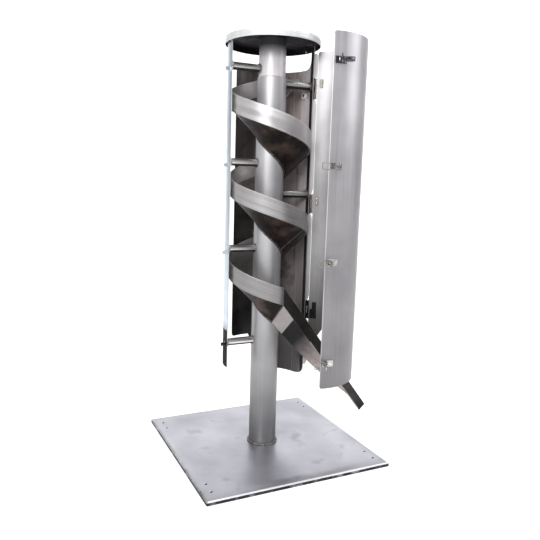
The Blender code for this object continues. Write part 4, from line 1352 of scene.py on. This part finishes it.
@dataclass
class Hinges:
    """The three butt hinges between the right rail and the door."""

    door: Door
    rail_outer: float = 0.1365
    gap: float = 0.0003
    leaf_sheet: float = 0.0020
    leaf_turn: float = 9.5
    half_height: float = 0.030
    reach: tuple[float, float] = (0.0340, 0.0018)
    fold: tuple[float, float] = (0.0092, 0.0100)
    web: tuple[float, float] = (0.0042, 0.0020)
    knuckle: float = 0.0050
    bore: float = 0.0028
    screw_heights: tuple[float, ...] = (-0.019, 0.0, 0.019)
    screw_reach: float = 0.0225
    screw_size: tuple[float, float] = (0.0032, 0.0013)
    backing_depth: tuple[float, float] = (0.0024, 0.0001)
    backing_screw: tuple[float, float] = (0.0026, 0.0010)
    backing_azimuth: float = 342.0
    backing_plates: tuple[tuple[float, float, float, float], ...] = (
        (0.0060, 0.002, 0.028, 2.6), (0.0060, -0.004, 0.024, 2.6), (0.0070, -0.002, 0.027, 0.6),
        (0.0110, -0.027, 0.004, 1.8))

    def build(self) -> None:
        """Build every hinge's two leaves and backing plate, and dress its pin."""
        for number in (1, 2, 3):
            # The lowest hinge and its backing plates take the near-black painted shade.
            finish = HINGE_SHADE if number == 3 else HINGE
            dress(f"hinge_pin_{number}", RIVET)
            for side, owner, foot in ((1.0, "rail", self.rail_outer), (-1.0, "door", self.door.outer)):
                node = f"hinge_{owner}_leaf_{number}"
                self._leaf(node, side, foot + self.gap, finish)
            self._backing(number, finish)

    def _leaf(self, node: str, side: float, foot: float, finish: SteelFinish) -> None:
        """Build one leaf.

        Args:
            node: the CAD node it stands for.
            side: 1 for the rail's leaf, with the outer knuckles, and -1 for the door's.
            foot: how far from the column's axis the leaf lies.
            finish: its finish.
        """
        height, half = self._height_of(node), self.half_height
        third = half / 3.0
        place = seat(self.door.hinge_azimuth + side * self.leaf_turn, 0.0, height)
        seam = side * self.door.hinge_radius * math.sin(math.radians(self.leaf_turn))
        head = foot + self.leaf_sheet
        draft = Draft()
        near, far = sorted((seam - side * self.reach[0], seam - side * self.fold[0]))
        draft.block((near, foot, -half), (far, head, half), 0.0004, place)
        near, far = sorted((seam - side * self.fold[1], seam - side * self.reach[1]))
        web_near, web_far = sorted(seam - side * across for across in self.web)
        bands = [(0.0002 - third, third - 0.0002)]
        if side > 0:
            bands = [(-half, -third - 0.0006), (third + 0.0006, half)]
        for low, high in bands:
            draft.block((near, foot + 0.00005, low), (far, head - 0.00005, high), 0.0003, place)
            draft.block((web_near, foot + 0.0004, low), (web_far, self.door.hinge_radius - 0.0040, high), 0.0002,
                        place)
            barrel = [(self.knuckle - 0.0004, low), (self.knuckle, low + 0.0004), (self.knuckle, high - 0.0004),
                      (self.knuckle - 0.0004, high), (self.bore, high), (self.bore, low)]
            draft.lathe(barrel, 28, Matrix.Translation(self.door.hinge + Vector((0.0, 0.0, height))))
        for level in self.screw_heights:
            spot = place @ Matrix.Translation((seam - side * self.screw_reach, head, level))
            draft.rivet(spot @ Matrix.Rotation(-math.pi / 2.0, 4, "X"), *self.screw_size, 1)
        body, matrix = ("stand", None) if side > 0 else ("door", self.door.swing)
        draft.show(f"{node}_plate", body, "fittings", (finish, RIVET), (node,), matrix)

    def _height_of(self, node: str) -> float:
        """Return the middle height of a CAD node."""
        low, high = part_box(node)
        return (low.z + high.z) / 2.0

    def _backing(self, number: int, finish: SteelFinish) -> None:
        """Build the plates inside the door that a hinge's screws go through; the lowest has two.

        Args:
            number: the hinge's number.
            finish: the hinge's finish.
        """
        height = self._height_of(f"hinge_door_leaf_{number}")
        inside = self.door.inner
        deep, shallow = self.backing_depth
        draft = Draft()
        for half_width, low, high, turn in self.backing_plates[number - 1:number if number < 3 else None]:
            middle, across = self.backing_azimuth + turn, math.degrees(half_width / inside)
            draft.sheet((inside - deep, inside - shallow), spread(middle - across, middle + across, 1.0),
                        lambda azimuth: height + low, lambda azimuth: height + high, 0.0004)
            for share in (0.25, 0.75):
                spot = seat(middle, inside - deep + 0.0002, height + low + (high - low) * share)
                draft.rivet(spot @ Matrix.Rotation(math.pi / 2.0, 4, "X"), *self.backing_screw, 1)
        finishes = (HINGE_SHADE, HINGE_SHADE) if finish is HINGE_SHADE else (BACKING, RIVET)
        draft.show(f"hinge_backing_{number}", "door", "fittings", finishes, (), self.door.swing)


@dataclass
class Latches:
    """The four toggle latches along the door's free edge and their keepers on the left rail."""

    door: Door
    heights: tuple[float, ...] = (1.193, 0.913, 0.648, 0.356)
    azimuth: float = 190.7
    pivot_height: float = 0.009
    foot_sheet: float = 0.0015
    foot_span: tuple[float, float] = (-3.6, 10.2)
    foot_half: float = 0.0095
    ear_faces: tuple[float, float] = (0.0056, 0.0068)
    ear_foot: tuple[float, float] = (0.0048, -0.0076)
    ear_head: tuple[float, float, float] = (0.0044, 0.0012, 0.0028)
    foot_rivets: tuple[float, float] = (5.0, 8.0)
    foot_rivet_size: tuple[float, float] = (0.0018, 0.0009)
    strap_start: float = 0.0118
    strap_length: float = 0.0282
    strap_faces: tuple[float, float] = (0.0034, 0.0048)
    strap_half: float = 0.0070
    strap_curl: float = 0.0028
    strap_narrowing: float = 0.0014
    cheek_low: tuple[float, float] = (-0.0180, -0.0030)
    cheek_high: tuple[float, float] = (0.0030, 0.0041)
    cheek_faces: tuple[float, float] = (0.0038, 0.0050)
    pin_head: tuple[float, float] = (0.0021, 0.0007)
    lever_rest: tuple[float, ...] = (12.0, 100.0, 96.0, 104.0)
    bail_lift: tuple[float, ...] = (62.0, 0.0, 4.0, 2.0)
    link: float = 0.009
    bail_length: float = 0.038
    bail_half_width: float = 0.0085
    bail_wire: float = 0.0012
    bail_corner: float = 0.0030
    keeper_azimuth: float = 181.0
    keeper_span: tuple[float, float] = (-5.0, 2.0)
    keeper_half: float = 0.008
    hook_half: float = 0.0052
    keeper_rivet: tuple[float, float] = (0.0016, 0.0008)
    rail_outer: float = 0.1365

    def build(self) -> None:
        """Build every latch and keeper, and dress the pins."""
        for number, height in enumerate(self.heights, 1):
            # The top latch takes the darker steel.
            finish = LATCH_DARK if number == 1 else LATCH
            place = seat(self.azimuth, self.door.outer + self.pivot_height, height)
            dress(f"latch_pin_{number}", RIVET)
            self._base(number, height, place, finish)
            self._lever(number, place, finish)
            self._bail(number, place, finish)
            self._keeper(number, height)

    def _base(self, number: int, height: float, place: Matrix, finish: SteelFinish) -> None:
        """Build a latch's curved foot with its ears and rivets.

        Args:
            number: the latch's number.
            height: its height on the door.
            place: the frame on its pin.
            finish: its finish.
        """
        foot = self.door.outer + 0.0003
        start, end = self.foot_span
        draft = Draft()
        draft.sheet((foot, foot + self.foot_sheet), spread(self.azimuth + start, self.azimuth + end, 1.1),
                    lambda azimuth: height - self.foot_half, lambda azimuth: height + self.foot_half, 0.0003)
        (wide, low), (across, level, rise) = self.ear_foot, self.ear_head
        ear = [(-wide, low), (wide, low), (across, level)]
        ear += [(across * math.cos(turn), level + rise * math.sin(turn))
                for turn in (math.pi * step / 8.0 for step in range(1, 8))]
        ear += [(-across, level)]
        for side in (-1.0, 1.0):
            faces = sorted(side * face for face in self.ear_faces)
            draft.loft([[place @ Vector((x, y, z)) for x, y in ear] for z in faces])
            for offset in self.foot_rivets:
                spot = facing_out(self.azimuth + offset, foot + self.foot_sheet, height + side * 0.0058)
                draft.rivet(spot, *self.foot_rivet_size, 1)
        draft.show(f"latch_foot_{number}", "door", "fittings", (finish, RIVET), (f"latch_base_{number}",),
                   self.door.swing)

    def _lever(self, number: int, place: Matrix, finish: SteelFinish) -> None:
        """Build a lever: two cheeks on the pin and a strap that curls up at its tail.

        Args:
            number: the latch's number.
            place: the frame on its pin.
            finish: its finish.
        """
        turned = place @ Matrix.Rotation(-math.radians(self.lever_rest[number - 1]), 4, "Z")
        draft = Draft()
        sections = []
        lower, upper = self.strap_faces
        for along in spread(0.0, 1.0, 0.05):
            x = -self.strap_start - self.strap_length * along
            lift = self.strap_curl * max(0.0, (along - 0.55) / 0.45) ** 2 - 0.0004 * math.sin(math.pi * along)
            half = self.strap_half - self.strap_narrowing * max(0.0, (along - 0.7) / 0.3) ** 2
            shrink = 0.0003 if along in (0.0, 1.0) else 0.0
            outline = eased_rectangle((lower + lift + shrink, -half + shrink),
                                      (upper + lift - shrink, half - shrink), 0.0004)
            sections.append([turned @ Vector((x, y, z)) for y, z in outline])
        draft.loft(sections)
        for side in (-1.0, 1.0):
            low, high = sorted(side * face for face in self.cheek_faces)
            draft.block((*self.cheek_low, low), (*self.cheek_high, high), 0.0003, turned)
        for x in (0.0, -self.link):
            boss = turned @ Matrix.Translation((x, 0.0, 0.0))
            for side in (-1.0, 1.0):
                end = boss @ Matrix.Translation((0.0, 0.0, side * self.cheek_faces[1]))
                flip = end if side > 0 else end @ Matrix.Rotation(math.pi, 4, "X")
                draft.rivet(flip, *self.pin_head, 1)
        draft.show(f"latch_lever_{number}_strap", f"lever_{number}", "latch_steel", (finish, RIVET),
                   (f"latch_lever_{number}",), self.door.swing, 50.0)

    def _bail(self, number: int, place: Matrix, finish: SteelFinish) -> None:
        """Build a bail: a closed loop of wire hung in the lever.

        Args:
            number: the latch's number.
            place: the frame on its pin.
            finish: its finish.
        """
        rest = math.radians(self.lever_rest[number - 1])
        link = Vector((-self.link * math.cos(rest), self.link * math.sin(rest), 0.0))
        lift = Matrix.Rotation(math.radians(self.bail_lift[number - 1]), 4, "Z")
        hung = place @ Matrix.Translation(link) @ lift
        corner, reach, half = self.bail_corner, self.bail_length, self.bail_half_width
        points = []
        for x, z, start in ((reach - corner, half - corner, 0.0), (corner, half - corner, 90.0),
                            (corner, corner - half, 180.0), (reach - corner, corner - half, 270.0)):
            for step in range(7):
                angle = math.radians(start + 15.0 * step)
                points.append(hung @ Vector((x + corner * math.cos(angle), 0.0, z + corner * math.sin(angle))))
        draft = Draft()
        draft.wire(points, self.bail_wire, 12, closed=True)
        draft.show(f"latch_bail_{number}_wire", f"bail_{number}", "latch_steel", (finish if number == 1 else BAIL,),
                   (f"latch_bail_{number}",), self.door.swing, 60.0)

    def _keeper(self, number: int, height: float) -> None:
        """Build a keeper: a curved foot on the rail with an upright hook.

        Args:
            number: the latch's number.
            height: its height on the rail.
        """
        place = seat(self.keeper_azimuth, 0.0, height)
        foot = self.rail_outer + 0.0003
        draft = Draft()
        start, end = self.keeper_span
        draft.sheet((foot, foot + self.foot_sheet),
                    spread(self.keeper_azimuth + start, self.keeper_azimuth + end, 0.8),
                    lambda azimuth: height - self.keeper_half, lambda azimuth: height + self.keeper_half, 0.0003)
        outline = ((-0.0010, foot + 0.0008), (0.0006, foot + 0.0008), (0.0006, 0.1508), (0.0018, 0.1524),
                   (0.0010, 0.1536), (-0.0010, 0.1516))
        draft.loft([[place @ Vector((x, y, z)) for x, y in outline] for z in (-self.hook_half, self.hook_half)])
        for side in (-1.0, 1.0):
            spot = facing_out(self.keeper_azimuth - 3.4, foot + self.foot_sheet, height + side * 0.0046)
            draft.rivet(spot, *self.keeper_rivet, 1)
        draft.show(f"keeper_{number}_hook", "stand", "fittings", (RAIL_BRIGHT, RIVET), (f"keeper_{number}",))


# ---------------------------------------------------------------- studio and camera

@dataclass(frozen=True)
class Softbox:
    """A square light aimed at a point."""

    name: str
    place: tuple[float, float, float]
    size: float
    power: float
    target: tuple[float, float, float] = (0.0, 0.0, 0.7)

    def hang(self) -> None:
        """Add the light to the scene."""
        light = bpy.data.lights.new(self.name, "AREA")
        light.shape, light.size, light.energy = "SQUARE", self.size, self.power
        item = bpy.data.objects.new(self.name, light)
        item.location = self.place
        item.rotation_euler = (Vector(self.target) - Vector(self.place)).to_track_quat("-Z", "Y").to_euler()
        bpy.context.scene.collection.objects.link(item)


@dataclass
class Studio:
    """A pale floor and backdrop, soft light and the camera."""

    lens: float = 39.08
    place: tuple[float, float, float] = (-0.7941, -1.6803, 0.8714)
    heading: float = 25.63
    dip: float = 8.71
    roll: float = 1.67
    sky: float = 0.36
    floor_drop: float = 0.0006
    floor_half: float = 9.0
    floor_tone: tuple[float, float] = (0.86, 0.42)
    backdrop_half: float = 4.5
    backdrop_tone: tuple[float, float] = (0.5, 0.95)
    backdrop_away: float = 5.5
    backdrop_height: float = 1.5
    lights: tuple[Softbox, ...] = (
        Softbox("key_softbox", (-2.2, -2.4, 2.6), 1.8, 80.0),
        Softbox("top_softbox", (0.2, -0.3, 3.2), 2.2, 62.0),
        Softbox("side_softbox", (2.6, -1.6, 1.9), 1.4, 14.0))

    def build(self) -> None:
        """Set up the floor, the backdrop, the lights and the camera."""
        self._ground()
        self._sky()
        for light in self.lights:
            light.hang()
        self._camera()

    def _paper(self, name: str, tone: float, glow: float) -> bpy.types.Material:
        """Return a plain matt material that may glow a little.

        Args:
            name: the material's name.
            tone: how pale it is.
            glow: how much light it gives.

        Returns:
            The new material.
        """
        material = bpy.data.materials.new(name)
        material.use_nodes = True
        shader = material.node_tree.nodes["Principled BSDF"]
        shader.inputs["Base Color"].default_value = (tone, tone, tone, 1.0)
        shader.inputs["Roughness"].default_value = 0.9
        shader.inputs["Emission Color"].default_value = (1.0, 1.0, 1.0, 1.0)
        shader.inputs["Emission Strength"].default_value = glow
        return material

    def _panel(self, name: str, matrix: Matrix, half: float, material: bpy.types.Material) -> None:
        """Add a square panel that isn't part of the object.

        Args:
            name: the panel's name.
            matrix: where it stands.
            half: half its side.
            material: its material.
        """
        mesh = bmesh.new()
        bmesh.ops.create_grid(mesh, x_segments=1, y_segments=1, size=half)
        data = bpy.data.meshes.new(name)
        mesh.to_mesh(data)
        mesh.free()
        data.materials.append(material)
        item = bpy.data.objects.new(name, data)
        item.matrix_world = matrix
        bpy.context.scene.collection.objects.link(item)

    def _ground(self) -> None:
        """Add the floor and the backdrop behind the object."""
        self._panel("floor", Matrix.Translation((0.0, 0.0, -self.floor_drop)), self.floor_half,
                    self._paper("floor_paper", *self.floor_tone))
        turn = math.radians(self.heading)
        back = Vector((math.sin(turn), math.cos(turn), 0.0)) * self.backdrop_away
        back.z = self.backdrop_height
        face = Matrix.Rotation(-turn, 4, "Z") @ Matrix.Rotation(math.pi / 2.0, 4, "X")
        self._panel("backdrop", Matrix.Translation(back) @ face, self.backdrop_half,
                    self._paper("backdrop_paper", *self.backdrop_tone))

    def _sky(self) -> None:
        """Light the room evenly."""
        world = bpy.data.worlds.new("studio")
        world.use_nodes = True
        background = world.node_tree.nodes["Background"]
        background.inputs["Color"].default_value = (1.0, 1.0, 1.0, 1.0)
        background.inputs["Strength"].default_value = self.sky
        bpy.context.scene.world = world
        bpy.context.scene.view_settings.view_transform = "Standard"

    def _camera(self) -> None:
        """Add the camera and make it the scene's own."""
        yaw, dip, roll = (math.radians(angle) for angle in (self.heading, self.dip, self.roll))
        ahead = Vector((math.sin(yaw) * math.cos(dip), math.cos(yaw) * math.cos(dip), -math.sin(dip)))
        right = Vector((math.cos(yaw), -math.sin(yaw), 0.0))
        up = right.cross(ahead)
        across = math.cos(roll) * right + math.sin(roll) * up
        upright = math.cos(roll) * up - math.sin(roll) * right
        turn = Matrix((across, upright, -ahead)).transposed().to_4x4()
        camera = bpy.data.cameras.new("camera")
        camera.lens = self.lens
        item = bpy.data.objects.new("camera", camera)
        item.matrix_world = Matrix.Translation(self.place) @ turn
        bpy.context.scene.collection.objects.link(item)
        bpy.context.scene.camera = item


def main() -> None:
    """Build every sub-assembly in order, then the studio."""
    logging.basicConfig(level=logging.INFO, format="%(name)s: %(message)s")
    spiral, door = Spiral(), Door()
    for assembly in (FootPlate(), Column(), Cap(), Uprights(), RearShell(), spiral, Chute(spiral), door,
                     Hinges(door), Latches(door)):
        LOG.info("building %s", type(assembly).__name__)
        assembly.build()
    Studio().build()
    LOG.info("sizes written")


if __name__ == "__main__":
    main()
